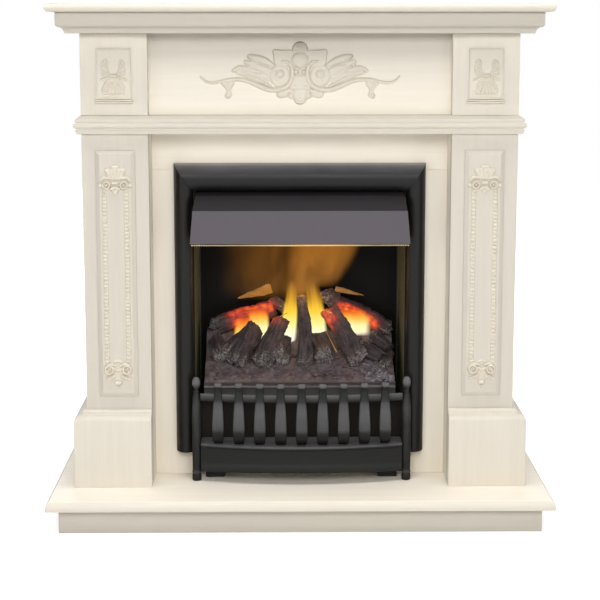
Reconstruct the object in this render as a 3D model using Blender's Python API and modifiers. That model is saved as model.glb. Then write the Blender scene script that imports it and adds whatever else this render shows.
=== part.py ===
"""Electric fireplace suite: a painted wooden mantel with carved ornament on a raised hearth,
holding an inset mist-effect fire with a metal trim, a hood, a cast fret, a log bed and its works.

Metres, +Z up. The front faces -Y and the back stands against a wall at +Y. The origin lies on
the floor, under the middle of the suite.
"""
import math

import bmesh
import bpy
from mathutils import Matrix, Vector, noise

# Fits
GAP = 0.0003
RUNNING_GAP = 0.0006

# Hearth and its base frame
HEARTH_WIDTH = 0.978
HEARTH_DEPTH = 0.400
HEARTH_THICK = 0.018
HEARTH_EDGE_REACH = 0.009
HEARTH_EDGE_FOOT = 0.005
BASE_WIDTH = 0.933
BASE_HEIGHT = 0.050
BASE_SETBACK = 0.025
BOARD_THICK = 0.018
HEARTH_TOP = BASE_HEIGHT + HEARTH_THICK
WALL_Y = HEARTH_DEPTH / 2

# Columns
COLUMN_SPREAD = 0.840
COLUMN_WIDTH = 0.128
COLUMN_HEIGHT = 0.695
COLUMN_SETBACK = 0.122
FRONT_BOARD_THICK = 0.022
COLUMN_OUTER = COLUMN_SPREAD / 2
COLUMN_INNER = COLUMN_OUTER - COLUMN_WIDTH
COLUMN_MIDDLE = (COLUMN_OUTER + COLUMN_INNER) / 2
COLUMN_Y = -WALL_Y + COLUMN_SETBACK
COLUMN_BACK_Y = COLUMN_Y + FRONT_BOARD_THICK
COLUMN_TOP = HEARTH_TOP + COLUMN_HEIGHT

# Plinth blocks round the foot of each column
PLINTH_HEIGHT = 0.153
PLINTH_PROUD = 0.024
PLINTH_MOULD_HEIGHT = 0.020
PLINTH_BEAD_PROUD = 0.0084
PLINTH_BEAD_HEIGHT = 0.009
PLINTH_BEAD_SOFTENING = 0.0035
PLINTH_TOP = HEARTH_TOP + PLINTH_HEIGHT

# Raised panels and ornaments on the columns
PANEL_WIDTH = 0.076
PANEL_RISE = 0.026
PANEL_HEAD = 0.032
PANEL_EDGE = 0.002
PANEL_THICK = 0.008
PANEL_BEVEL = 0.008
ORNAMENT_THICK = 0.006
BEAD_STRING_SPREAD = 0.0425
BEAD_STRING_WIDTH = 0.010
BEAD_STRING_LAP = 0.007
BEAD_STRING_STEP = 0.0005
PALMETTE_HEAD = 0.056
PENDANT_RISE = 0.050
DRAWING_UNIT = 0.001

# Mouldings, frieze and shelf
ASTRAGAL_HEIGHT = 0.035
ASTRAGAL_PROUD = 0.014
ASTRAGAL_NOSE_RADIUS = 0.006
ASTRAGAL_NOSE_RISE = 0.0165
ASTRAGAL_FOOT_PROUD = 0.010
ASTRAGAL_FOOT_HEIGHT = 0.006
ASTRAGAL_NECK_PROUD = 0.008
ASTRAGAL_FILLET_PROUD = 0.011
ASTRAGAL_FILLET_HEIGHT = 0.004
ASTRAGAL_CAP_PROUD = 0.001
ASTRAGAL_CAP_HEIGHT = 0.007
FRIEZE_HEIGHT = 0.156
FRIEZE_SETBACK = 0.020
CORNICE_HEIGHT = 0.040
CORNICE_PROUD = 0.040
CORNICE_WIDTH = 0.082
CORNICE_COVE_HEIGHT = 0.012
CORNICE_COVE_PROUD = 0.025
CORNICE_COVE_STEP = 0.004
CORNICE_LIP = 0.003
SHELF_OVERHANG = 0.018
SHELF_THICK = 0.016
ASTRAGAL_TOP = COLUMN_TOP + ASTRAGAL_HEIGHT
FRIEZE_TOP = ASTRAGAL_TOP + FRIEZE_HEIGHT
CORNICE_TOP = FRIEZE_TOP + CORNICE_HEIGHT
FRIEZE_Y = COLUMN_Y + FRIEZE_SETBACK
PLAQUE_WIDTH = 0.073
PLAQUE_HEIGHT = 0.104
PLAQUE_THICK = 0.007
PLAQUE_RISE = 0.024
PLAQUE_EDGE = 0.0065
FRIEZE_ORNAMENT_RISE = 0.083
FRIEZE_ORNAMENT_THICK = 0.010
FRIEZE_ORNAMENT_ROUND = 0.002
PLAQUE_STEP = 0.003

# Facing round the fire
FACING_SETBACK = 0.070
HEADER_PROUD = 0.002
HEADER_HEIGHT = 0.076
SILL_HEIGHT = 0.053
FACING_Y = COLUMN_Y + FACING_SETBACK
FACING_BACK_Y = FACING_Y + BOARD_THICK
HEADER_Y = FACING_Y - HEADER_PROUD
HEADER_BOTTOM = COLUMN_TOP - HEADER_HEIGHT
HEADER_LAP = 0.040

# Metal trim and the case of the fire
TRIM_WIDTH = 0.497
TRIM_LAP = 0.014
TRIM_SIDE_FACE = 0.037
TRIM_TOP_FACE = 0.054
TRIM_PROUD = 0.032
TRIM_CREST = 0.45
TRIM_EDGE = 0.003
TRIM_INNER_PROUD = 0.016
SHEET = 0.002
FLANGE = 0.014
CASE_DEPTH = 0.173
CASE_HEADROOM = 0.003
CASE_FLOOR_LIP = 0.1025
BED_LEDGE = 0.030
BED_SIDE_GAP = 0.0175
SUMP_SIDE_GAP = 0.0095
FRET_SIDE_GAP = 0.0025
INSERT_BOTTOM = HEARTH_TOP + SILL_HEIGHT
TRIM_TOP = HEADER_BOTTOM + TRIM_LAP
TRIM_INNER = TRIM_WIDTH / 2 - TRIM_SIDE_FACE
CASE_FRONT_Y = FACING_Y - GAP - SHEET
CASE_BACK_Y = FACING_Y + CASE_DEPTH
CASE_BOTTOM = HEARTH_TOP + GAP
CASE_TOP = HEADER_BOTTOM - CASE_HEADROOM
CASE_INSIDE = TRIM_INNER - SHEET
TRIM_BACK_Y = CASE_FRONT_Y - GAP
TRIM_FRONT_Y = TRIM_BACK_Y - TRIM_PROUD
CASE_MOUTH = INSERT_BOTTOM + CASE_FLOOR_LIP

# Hood
HOOD_SHEET = 0.0015
HOOD_TOP_DROP = 0.063
HOOD_SLOPE_DROP = 0.0255
HOOD_FACE_DROP = 0.0625
HOOD_REACH = 0.045
HOOD_SLOPE_REACH = 0.033
HOOD_STRIP = 0.003
HOOD_FLARE = 0.007
HOOD_FLANGE_GAP = 0.004
HOOD_FLANGE_SET = 0.006
HOOD_SHELF_RISE = 0.007
HOOD_CHEEK_DEPTH = 0.012
HOOD_CHEEK_STEP = 0.006

# Fret
FRET_SHIFT = 0.003
POST_RADIUS = 0.0095
POST_HEIGHT = 0.211
POST_SPREAD = 2 * (TRIM_INNER - FRET_SIDE_GAP)
POST_LAP = 0.001
POST_FOOT = 0.014
FRET_FRONT_BOW = 0.0315
RAIL_BOW = 0.022
RAIL_DEPTH = 0.008
RAIL_BOTTOM = 0.163
RAIL_HEIGHT = 0.015
LEDGE_BOTTOM = 0.069
LEDGE_THICK = 0.008
APRON_DROP = 0.0475
APRON_THICK = 0.006
FOOT_WIDTH = 0.038
FOOT_DEPTH = 0.020
FOOT_INSET = 0.008
FOOT_SETBACK = 0.036
FOOT_LAP = 0.001
LEDGE_LIP = 0.002
FRET_BACK_GAP = 0.003
BAR_COUNT = 9
BAR_PITCH = 0.0414
BAR_THICK = 0.007
BAR_HEIGHT = 0.127
BAR_ROOT = 0.002

# Fuel bed
BED_WIDTH = 2 * (CASE_INSIDE - BED_SIDE_GAP)
BED_DEPTH = 0.172
BED_FRONT_REACH = 0.0137
BED_LIP = 0.038
BED_WALL = 0.006
BED_ROOF = 0.012
BED_SLOPE_START = 0.012
BED_SLOPE_LENGTH = 0.080
BED_SLOPE_RISE = 0.030
BED_BACK_START = 0.085
BED_BACK_LENGTH = 0.050
BED_BACK_RISE = 0.048
BED_LUMP_HEIGHT = 0.004
BED_LUMP_SIZE = 0.0167
BED_COLUMNS = 24
BED_ROWS = 11
MIST_SLOT_WIDTH = 0.080
MIST_SLOT_DEPTH = 0.024
LOG_SIDES = 9

# Mist unit
SUMP_WIDTH = 2 * (CASE_INSIDE - SUMP_SIDE_GAP)
SUMP_DEPTH = 0.142
SUMP_HEIGHT = 0.040
SUMP_FLOOR = 0.004
TANK_WIDTH = 0.120
TANK_DEPTH = 0.125
TANK_HEIGHT = 0.072
TANK_WALL = 0.003
TANK_ROUND = 0.006
TANK_OFFSET = -0.114
GRIP_WIDTH = 0.080
GRIP_DEPTH = 0.016
GRIP_HEIGHT = 0.014
GRIP_BAR = 0.005
GRIP_POST = 0.008
NECK_RADIUS = 0.017
NECK_HEIGHT = 0.010
NECK_BORE = 0.013
CAP_RADIUS = 0.022
CAP_HEIGHT = 0.015
CAP_FLOOR_ROUND = 0.002
CAP_RIB = 0.0012
CAP_RIBS = 8
WELL_WIDTH = 0.060
DUCT_WIDTH = 0.100
DUCT_DEPTH = 0.060
DUCT_HEIGHT = 0.090
DUCT_WALL = 0.002
DUCT_RIM = 0.006
DUCT_SHOULDER = 0.035
DUCT_TAPER = 0.035
DUCT_TOP_GAP = 0.004
THROAT_SIDE_GAP = 0.004
THROAT_END_GAP = 0.002
CHANNEL_WIDTH = 0.020
CHANNEL_HEIGHT = 0.012
TRANSDUCER_RADIUS = 0.020
TRANSDUCER_HEIGHT = 0.010
FAN_OFFSET = 0.100
FAN_WELL_RADIUS = 0.029
FAN_RADIUS = 0.026
FAN_HEIGHT = 0.012
FAN_PIN_RADIUS = 0.002
FAN_BLADES = 7
FAN_HUB_RADIUS = 0.010
FAN_BLADE_THICK = 0.002
FAN_PITCH = 48.0
FAN_DROP = 0.0195
FAN_WELL_DEPTH = 0.020
FAN_PIN_HEIGHT = 0.018
FAN_PIN_TOP = 0.003
LAMP_COUNT = 4
LAMP_RADIUS = 0.006
LAMP_HEIGHT = 0.012
LAMP_STRIP_DEPTH = 0.016
LAMP_STRIP_HEIGHT = 0.006
LAMP_GAP = 0.006
BOARD_SHEET = 0.0016
BOARD_WIDTH = 0.056
BOARD_DEPTH = 0.110
BOARD_RISE = 0.008
BOARD_INSET = 0.006
BOARD_FOOT = 0.006
COMPONENT_LAP = 0.0004

# Heater
HEATER_WIDTH = 0.270
HEATER_DEPTH = 0.120
HEATER_HEIGHT = 0.106
HEATER_OFFSET = -0.045
INLET_MARGIN = 0.020
HEATER_SETBACK = 0.016
ELEMENT_SETBACK = 0.016
ELEMENT_MARGIN = 0.020
ELEMENT_DEPTH = 0.010
ELEMENT_RAIL = 0.010
ELEMENT_FINS = 12
FIN_WIDTH = 0.006
FIN_DEPTH = 0.008
FIN_LAP = 0.002
WHEEL_RADIUS = 0.027
WHEEL_BLADES = 14
WHEEL_BACK_GAP = 0.012
WHEEL_END_GAP = 0.006
WHEEL_DISC = 0.002
WHEEL_BLADE_WIDTH = 0.008
WHEEL_BLADE_THICK = 0.0012
WHEEL_BLADE_INSET = 0.0055
WHEEL_BLADE_PITCH = 35.0
SHAFT_END = 0.010
SHAFT_START = 0.004
SHAFT_RADIUS = 0.003
MOTOR_RADIUS = 0.026
MOTOR_LENGTH = 0.036

# Controls behind the hood
PANEL_BOX_WIDTH = 0.092
PANEL_BOX_HEIGHT = 0.078
PANEL_BOX_DEPTH = 0.022
PANEL_DROP = 0.050
PANEL_REACH = 0.018
ROCKER_FIRST = 0.016
ROCKER_PITCH = 0.024
KNOB_ACROSS = 0.066
CARRIER_SETBACK = 0.011
CARRIER_THICK = 0.003
CARRIER_MARGIN = 0.004
ROCKER_AXIS_DEPTH = 0.003
ROCKER_BACK = 0.005
ROCKER_FACE = 0.0045
ROCKER_DISH = 0.003
ROCKER_CHAMFER = 0.001
ROCKER_WIDTH = 0.013
ROCKER_HEIGHT = 0.020
KNOB_RADIUS = 0.011
KNOB_LENGTH = 0.013
KNOB_ROUND = 0.002
SPINDLE_RADIUS = 0.003
SPINDLE_LENGTH = 0.010
POINTER_WIDTH = 0.0024
POINTER_HEIGHT = 0.001

GLAND_RADIUS = 0.0070
GLAND_FLANGE_RADIUS = 0.011
GLAND_SIDE_GAP = 0.0595
GLAND_FLANGE = 0.004
GLAND_LENGTH = 0.016
GLAND_BORE = 0.0037
GLAND_NUT = 0.0047
GLAND_RISE = 0.115

# Colours as linear RGB, roughness, metallic
PAINT = ((0.80, 0.74, 0.62), 0.45, 0.0)
CARVING = ((0.83, 0.77, 0.65), 0.42, 0.0)
BLACK_STEEL = ((0.022, 0.021, 0.025), 0.42, 0.3)
HOOD_STEEL = ((0.090, 0.080, 0.090), 0.45, 0.3)
BRASS = ((0.75, 0.58, 0.25), 0.30, 1.0)
CAST_IRON = ((0.050, 0.050, 0.052), 0.55, 0.2)
CHAR = ((0.060, 0.045, 0.043), 0.85, 0.0)
EMBER = ((0.080, 0.055, 0.055), 0.90, 0.0)
TANK_PLASTIC = ((0.30, 0.38, 0.42), 0.25, 0.0)
BLACK_PLASTIC = ((0.015, 0.015, 0.016), 0.50, 0.0)
GALVANISED = ((0.45, 0.46, 0.47), 0.40, 0.9)
CERAMIC = ((0.65, 0.63, 0.58), 0.60, 0.0)
BOARD_GREEN = ((0.020, 0.120, 0.050), 0.50, 0.0)
LAMP_GLASS = ((0.80, 0.62, 0.35), 0.20, 0.0)

SIDES = (("left", -1), ("right", 1))
CUT_OVER = 0.010


def start_scene():
    """Empties the scene and returns the collection that holds the parts."""
    for old in list(bpy.data.objects):
        bpy.data.objects.remove(old, do_unlink=True)
    parts = bpy.data.collections.new("electric_fireplace_suite")
    bpy.context.scene.collection.children.link(parts)
    return parts


PARTS = start_scene()


def finish(obj, look):
    """Gives an object its own Principled material."""
    colour, roughness, metallic = look
    material = bpy.data.materials.new(obj.name + "_finish")
    material.use_nodes = True
    shader = material.node_tree.nodes["Principled BSDF"]
    shader.inputs["Base Color"].default_value = (*colour, 1.0)
    shader.inputs["Roughness"].default_value = roughness
    shader.inputs["Metallic"].default_value = metallic
    material.diffuse_color = (*colour, 1.0)
    obj.data.materials.clear()
    obj.data.materials.append(material)


def add(name, mesh, look=None):
    obj = bpy.data.objects.new(name, mesh)
    PARTS.objects.link(obj)
    if look is not None:
        finish(obj, look)
    return obj


def evaluated_mesh(obj):
    bpy.context.view_layer.update()
    graph = bpy.context.evaluated_depsgraph_get()
    return bpy.data.meshes.new_from_object(obj.evaluated_get(graph))


def bake(obj):
    """Applies an object's modifiers to its mesh."""
    mesh = evaluated_mesh(obj)
    obj.modifiers.clear()
    obj.data = mesh
    return obj


def move_origin(obj, point):
    """Puts an object's origin at a point without moving its surface."""
    offset = Vector(point) - obj.location
    obj.data.transform(Matrix.Translation(-offset))
    obj.location = Vector(point)


def box(name, x, y, z, look=None):
    """A box between two values on each axis."""
    size = Vector((x[1] - x[0], y[1] - y[0], z[1] - z[0]))
    middle = Vector((x[0] + x[1], y[0] + y[1], z[0] + z[1])) / 2
    shape = bmesh.new()
    bmesh.ops.create_cube(shape, size=1.0, matrix=Matrix.Diagonal((*size, 1.0)))
    mesh = bpy.data.meshes.new(name)
    shape.to_mesh(mesh)
    shape.free()
    obj = add(name, mesh, look)
    obj.location = middle
    return obj


def round_edges(obj, width, segments=2, angle=40.0):
    bevel = obj.modifiers.new("Rounding", "BEVEL")
    bevel.width = width
    bevel.segments = segments
    bevel.limit_method = "ANGLE"
    bevel.angle_limit = math.radians(angle)
    return obj


def cylinder(name, centre, axis, radius, length, look=None, sides=24):
    """A cylinder centred on a point, along X, Y or Z."""
    turn = {"X": Matrix.Rotation(math.pi / 2, 4, "Y"),
            "Y": Matrix.Rotation(math.pi / 2, 4, "X"),
            "Z": Matrix.Identity(4)}[axis]
    shape = bmesh.new()
    bmesh.ops.create_cone(shape, cap_ends=True, segments=sides, radius1=radius, radius2=radius,
                          depth=length, matrix=turn)
    mesh = bpy.data.meshes.new(name)
    shape.to_mesh(mesh)
    shape.free()
    obj = add(name, mesh, look)
    obj.location = centre
    return obj


def turned(name, profile, look=None, sides=16):
    """A solid of revolution round Z. The profile runs down the outside from top to bottom."""
    shape = bmesh.new()
    points = [shape.verts.new((radius, 0.0, height)) for radius, height in profile]
    for first, second in zip(points, points[1:]):
        shape.edges.new((first, second))
    mesh = bpy.data.meshes.new(name)
    shape.to_mesh(mesh)
    shape.free()
    obj = add(name, mesh, look)
    screw = obj.modifiers.new("Turning", "SCREW")
    screw.steps = sides
    screw.render_steps = sides
    screw.use_merge_vertices = True
    screw.merge_threshold = 0.00001
    bake(obj)
    shape = bmesh.new()
    shape.from_mesh(obj.data)
    bmesh.ops.remove_doubles(shape, verts=shape.verts, dist=0.00001)
    bmesh.ops.recalc_face_normals(shape, faces=shape.faces)
    shape.to_mesh(obj.data)
    shape.free()
    obj.data.shade_smooth()
    obj.data.set_sharp_from_angle(angle=math.radians(40.0))
    return obj


def plate(name, outlines, thickness, look=None, rounding=0.0):
    """A flat outline with any holes, drawn in X and Z, centred on Y = 0."""
    curve = bpy.data.curves.new(name, "CURVE")
    curve.dimensions = "2D"
    curve.fill_mode = "BOTH"
    curve.extrude = thickness / 2 - rounding
    curve.bevel_depth = rounding
    curve.bevel_resolution = 0
    for outline in outlines:
        spline = curve.splines.new("POLY")
        spline.points.add(len(outline) - 1)
        for point, (across, up) in zip(spline.points, outline):
            point.co = (across, up, 0.0, 1.0)
        spline.use_cyclic_u = True
    drawing = bpy.data.objects.new(name, curve)
    PARTS.objects.link(drawing)
    mesh = evaluated_mesh(drawing)
    bpy.data.objects.remove(drawing, do_unlink=True)
    shape = bmesh.new()
    shape.from_mesh(mesh)
    bmesh.ops.remove_doubles(shape, verts=shape.verts, dist=0.00001)
    bmesh.ops.rotate(shape, verts=shape.verts, matrix=Matrix.Rotation(math.pi / 2, 3, "X"))
    bmesh.ops.recalc_face_normals(shape, faces=shape.faces)
    shape.to_mesh(mesh)
    shape.free()
    return add(name, mesh, look)


def loft(name, sections, look=None, smooth=False):
    """A closed solid through sections with the same number of points."""
    shape = bmesh.new()
    rings = [[shape.verts.new(point) for point in section] for section in sections]
    count = len(rings[0])
    for lower, upper in zip(rings, rings[1:]):
        for i in range(count):
            j = (i + 1) % count
            shape.faces.new((lower[i], lower[j], upper[j], upper[i]))
    shape.faces.new(rings[0][::-1])
    shape.faces.new(rings[-1])
    bmesh.ops.recalc_face_normals(shape, faces=shape.faces)
    mesh = bpy.data.meshes.new(name)
    shape.to_mesh(mesh)
    shape.free()
    obj = add(name, mesh, look)
    if smooth:
        obj.data.shade_smooth()
        obj.data.set_sharp_from_angle(angle=math.radians(50.0))
    return obj


def combine(target, tools, operation):
    """Joins tools to a target, or cuts them from it, and removes them."""
    for tool in tools:
        change = target.modifiers.new(tool.name, "BOOLEAN")
        change.operation = operation
        change.solver = "EXACT"
        change.object = tool
        bake(target)
        bpy.data.objects.remove(tool, do_unlink=True)
    return target


def cut(target, *tools):
    return combine(target, tools, "DIFFERENCE")


def join(target, *tools):
    return combine(target, tools, "UNION")


def slice_off(obj, point, normal):
    """Cuts an object on a plane and caps it. The side that the normal points to goes."""
    shape = bmesh.new()
    shape.from_mesh(obj.data)
    geometry = shape.verts[:] + shape.edges[:] + shape.faces[:]
    local = Vector(point) - obj.location
    result = bmesh.ops.bisect_plane(shape, geom=geometry, dist=0.000001, plane_co=local,
                                    plane_no=Vector(normal), clear_outer=True)
    edges = [item for item in result["geom_cut"] if isinstance(item, bmesh.types.BMEdge)]
    bmesh.ops.contextual_create(shape, geom=edges)
    bmesh.ops.recalc_face_normals(shape, faces=shape.faces)
    shape.to_mesh(obj.data)
    shape.free()
    return obj


def arc(centre, radii, start, end, steps):
    """Points on an elliptic arc, with its angles in degrees."""
    angles = [math.radians(start + (end - start) * i / steps) for i in range(steps + 1)]
    return [(centre[0] + radii[0] * math.cos(a), centre[1] + radii[1] * math.sin(a))
            for a in angles]


def side_range(side, inner, outer):
    """The X range of a piece on one side, from its distances from the middle."""
    return tuple(sorted((side * inner, side * outer)))


def stacked(name, profile, inner, outer, front_y, look):
    """A moulded block. Each profile point gives how far it stands proud and its height.

    Where inner is None the moulding runs on both sides, and otherwise it stops flush at inner."""
    sections = []
    for proud, height in profile:
        low = -(outer + proud) if inner is None else inner
        sections.append([(low, front_y - proud, height), (outer + proud, front_y - proud, height),
                         (outer + proud, WALL_Y, height), (low, WALL_Y, height)])
    return loft(name, sections, look)


def mirrored(obj, name):
    """A copy on the other side of the middle plane."""
    mesh = obj.data.copy()
    mesh.transform(Matrix.Diagonal((-1.0, 1.0, 1.0, 1.0)))
    mesh.flip_normals()
    copy = bpy.data.objects.new(name, mesh)
    PARTS.objects.link(copy)
    copy.location = Vector((-obj.location.x, obj.location.y, obj.location.z))
    finish(copy, look_of(obj))
    return copy


def look_of(obj):
    shader = obj.data.materials[0].node_tree.nodes["Principled BSDF"]
    colour = tuple(shader.inputs["Base Color"].default_value)[:3]
    return colour, shader.inputs["Roughness"].default_value, shader.inputs["Metallic"].default_value


def bullnose_slab(name, width, front_y, bottom, thick, look):
    """A board with a half-round nose on its front and both sides."""
    radius = thick / 2
    steps = 8
    profile = [(radius * math.cos(a) - radius, radius * math.sin(a))
               for a in (math.pi * (i / steps - 0.5) for i in range(steps + 1))]
    levels = [(proud, bottom + radius + height) for proud, height in profile]
    return stacked(name, levels, None, width / 2, front_y, look)


# The mantel


def build_hearth():
    edge = arc((-HEARTH_EDGE_REACH, HEARTH_EDGE_FOOT),
               (HEARTH_EDGE_REACH, HEARTH_THICK - HEARTH_EDGE_FOOT), 0, 90, 8)
    levels = [(proud, BASE_HEIGHT + height) for proud, height in [(0.0, 0.0)] + edge]
    stacked("hearth_slab", levels, None, HEARTH_WIDTH / 2, -WALL_Y, PAINT)
    half = BASE_WIDTH / 2
    front = -WALL_Y + BASE_SETBACK
    height = (0.0, BASE_HEIGHT - GAP)
    frame = box("base_frame", (-half, half), (front, WALL_Y), height, PAINT)
    inside = box("inside", (-half + BOARD_THICK, half - BOARD_THICK),
                 (front + BOARD_THICK, WALL_Y + CUT_OVER), (-CUT_OVER, BASE_HEIGHT), PAINT)
    cut(frame, inside)


def build_columns():
    lower = HEARTH_TOP + GAP
    top = COLUMN_TOP - GAP
    for word, side in SIDES:
        box("pilaster_" + word, side_range(side, COLUMN_INNER, COLUMN_OUTER),
            (COLUMN_Y, COLUMN_BACK_Y - GAP), (lower, top), PAINT)
        box("inner_return_" + word, side_range(side, COLUMN_INNER, COLUMN_INNER + BOARD_THICK),
            (COLUMN_BACK_Y, WALL_Y), (lower, top), PAINT)
        box("side_panel_" + word, side_range(side, COLUMN_OUTER - BOARD_THICK, COLUMN_OUTER),
            (COLUMN_BACK_Y, WALL_Y), (lower, FRIEZE_TOP - GAP), PAINT)
    build_plinths()
    build_panels()


def build_plinths():
    """Mitred blocks that wrap the front and the outer side of each column."""
    mould = PLINTH_TOP - PLINTH_MOULD_HEIGHT
    bead = PLINTH_BEAD_PROUD
    bead_foot = PLINTH_TOP - PLINTH_BEAD_HEIGHT
    rounded = arc((bead, mould), (PLINTH_PROUD - bead, bead_foot - mould), 0, 84, 6)
    profile = [(PLINTH_PROUD, HEARTH_TOP + GAP)] + rounded
    profile += [(bead, bead_foot + GAP), (bead, PLINTH_TOP - PLINTH_BEAD_SOFTENING),
                (bead - PLINTH_BEAD_SOFTENING, PLINTH_TOP)]
    block = stacked("plinth_block_right", profile, COLUMN_INNER, COLUMN_OUTER, COLUMN_Y, PAINT)
    core = box("core", (COLUMN_INNER - CUT_OVER, COLUMN_OUTER + GAP),
               (COLUMN_Y - GAP, WALL_Y + CUT_OVER), (0.0, PLINTH_TOP + CUT_OVER))
    cut(block, core)
    mirrored(block, "plinth_block_left")


def panel_heights():
    return PLINTH_TOP + PANEL_RISE, COLUMN_TOP - PANEL_HEAD


def build_panels():
    """Raised panels with bevelled edges, each set against its column."""
    bottom, top = panel_heights()
    middle = (bottom + top) / 2
    for word, side in SIDES:
        sections = []
        for inset, proud in ((0.0, GAP), (0.0, PANEL_EDGE), (PANEL_BEVEL, PANEL_THICK)):
            half = PANEL_WIDTH / 2 - inset
            tall = (top - bottom) / 2 - inset
            sections.append([(across, COLUMN_Y - proud, middle + up) for across, up in
                             ((-half, -tall), (half, -tall), (half, tall), (-half, tall))])
        panel = loft("pilaster_panel_" + word, sections, PAINT)
        panel.location.x = side * COLUMN_MIDDLE


def palmette_outline(middle_z):
    """The ornament above the bead strings: a fan of leaves over two scrolls and a drop."""
    half = [(0, 30), (5, 29), (9, 25), (14, 25), (20, 20), (21, 13), (28, 9), (32, 2), (33, -6),
            (31, -14), (25, -18), (18, -16), (12, -19), (7, -20), (5, -25), (0, -29)]
    return mirrored_outline(half, middle_z)


def pendant_outline(middle_z):
    """The ornament below the bead strings: ribbon lobes, two scrolls, wings and a finial."""
    half = [(0, 22), (4, 28), (10, 31), (16, 29), (20, 20), (27, 16), (32, 9), (32, 1), (26, -7),
            (27, -12), (23, -17), (15, -16), (9, -20), (5, -25), (4, -30), (0, -33)]
    return mirrored_outline(half, middle_z)


def mirrored_outline(half, middle_z=0.0):
    """Closes half an outline, drawn clockwise in drawing units, with its mirror image."""
    right = [(across * DRAWING_UNIT, middle_z + up * DRAWING_UNIT) for across, up in half]
    left = [(-across, up) for across, up in reversed(right[1:-1])]
    return right + left



def build_column_ornaments():
    panel_bottom, panel_top = panel_heights()
    palmette_z = panel_top - PALMETTE_HEAD
    pendant_z = panel_bottom + PENDANT_RISE
    face_y = COLUMN_Y - PANEL_THICK - GAP - ORNAMENT_THICK / 2
    for word, side in SIDES:
        carving = plate("pilaster_ornament_" + word, [palmette_outline(palmette_z)],
                        ORNAMENT_THICK, CARVING)
        pendant = plate("pendant", [pendant_outline(pendant_z)], ORNAMENT_THICK)
        strings = []
        for place in (-1, 1):
            middle = place * BEAD_STRING_SPREAD / 2
            strings.append(box("bead_string", (middle - BEAD_STRING_WIDTH / 2,
                                               middle + BEAD_STRING_WIDTH / 2),
                               (-ORNAMENT_THICK / 2 + BEAD_STRING_STEP, ORNAMENT_THICK / 2),
                               (pendant_z + BEAD_STRING_LAP, palmette_z - BEAD_STRING_LAP)))
        join(carving, pendant, *strings)
        carving.location = (side * COLUMN_MIDDLE, face_y, 0.0)


def build_mouldings():
    """The astragal over the columns and the cornice under the shelf, each cut to board width."""
    low, high = COLUMN_TOP, ASTRAGAL_TOP
    nose = arc((ASTRAGAL_PROUD - ASTRAGAL_NOSE_RADIUS, low + ASTRAGAL_NOSE_RISE),
               (ASTRAGAL_NOSE_RADIUS, ASTRAGAL_NOSE_RADIUS), -75, 75, 8)
    cap = high - ASTRAGAL_CAP_HEIGHT
    profile = [(ASTRAGAL_NECK_PROUD, low), (ASTRAGAL_FOOT_PROUD, low + ASTRAGAL_FOOT_HEIGHT)]
    profile += [(ASTRAGAL_NECK_PROUD, nose[0][1] - GAP)] + nose
    profile += [(ASTRAGAL_FILLET_PROUD, cap - ASTRAGAL_FILLET_HEIGHT), (ASTRAGAL_FILLET_PROUD, cap),
                (ASTRAGAL_CAP_PROUD, high)]
    astragal = stacked("astragal_moulding", profile, None, COLUMN_OUTER, COLUMN_Y, PAINT)
    above = high + CUT_OVER
    below = low - CUT_OVER
    inside = box("inside", (-COLUMN_OUTER - GAP, COLUMN_OUTER + GAP),
                 (HEADER_Y - GAP, WALL_Y + CUT_OVER), (below, above))
    slots = [box("slot", side_range(side, COLUMN_OUTER - BOARD_THICK - GAP, COLUMN_OUTER + GAP),
                 (COLUMN_BACK_Y - GAP, WALL_Y), (below, above)) for _, side in SIDES]
    cut(astragal, inside, *slots)

    low, high = FRIEZE_TOP, CORNICE_TOP
    edge = CORNICE_PROUD - CORNICE_COVE_STEP
    hollow_arc = arc((edge, low), (edge - CORNICE_COVE_PROUD, CORNICE_COVE_HEIGHT), 180, 90, 6)
    lip = low + CORNICE_COVE_HEIGHT + CORNICE_LIP
    profile = hollow_arc + [(CORNICE_PROUD - GAP, lip), (CORNICE_PROUD, lip + CORNICE_LIP),
                            (CORNICE_PROUD, high - GAP)]
    cornice = stacked("cornice_moulding", profile, None, COLUMN_OUTER, COLUMN_Y, PAINT)
    inner = COLUMN_OUTER + CORNICE_PROUD - CORNICE_WIDTH
    hollow = box("hollow", (-inner, inner),
                 (COLUMN_Y - CORNICE_PROUD + CORNICE_WIDTH, WALL_Y + CUT_OVER),
                 (low - CUT_OVER, high + CUT_OVER))
    cut(cornice, hollow)
    overhang = CORNICE_PROUD + SHELF_OVERHANG
    bullnose_slab("mantel_shelf", 2 * (COLUMN_OUTER + overhang), COLUMN_Y - overhang,
                  CORNICE_TOP, SHELF_THICK, PAINT)


def frieze_ornament_outline():
    """Half of the acanthus and scroll ornament, from its crown round to its lowest drop."""
    return mirrored_outline([
        (0, 60), (7, 59), (12, 54), (14, 46), (24, 41), (37, 40), (49, 40), (48, 31), (52, 21),
        (62, 24), (78, 27), (90, 27), (99, 30), (102, 22), (110, 12), (128, 6), (133, -2),
        (128, -6), (137, -11), (150, -14), (166, -17), (179, -15), (185, -9), (190, -8),
        (190, -14), (184, -20), (168, -22), (150, -20), (145, -26), (141, -36), (136, -45),
        (131, -36), (127, -24), (117, -16), (104, -17), (92, -25), (78, -33), (62, -38),
        (44, -38), (46, -43), (38, -47), (29, -45), (26, -51), (17, -51), (11, -47), (9, -55),
        (5, -60), (0, -61)])


def rosette_outline(petals=10, reach=34, waist=25, narrow=0.64):
    """A lobed outline round the middle of a plaque, narrower than it is tall."""
    points = []
    for i in range(petals * 2):
        angle = math.pi * i / petals
        radius = reach if i % 2 == 0 else waist
        points.append((radius * narrow * DRAWING_UNIT * math.sin(angle),
                       radius * DRAWING_UNIT * math.cos(angle)))
    return points[::-1]


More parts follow.
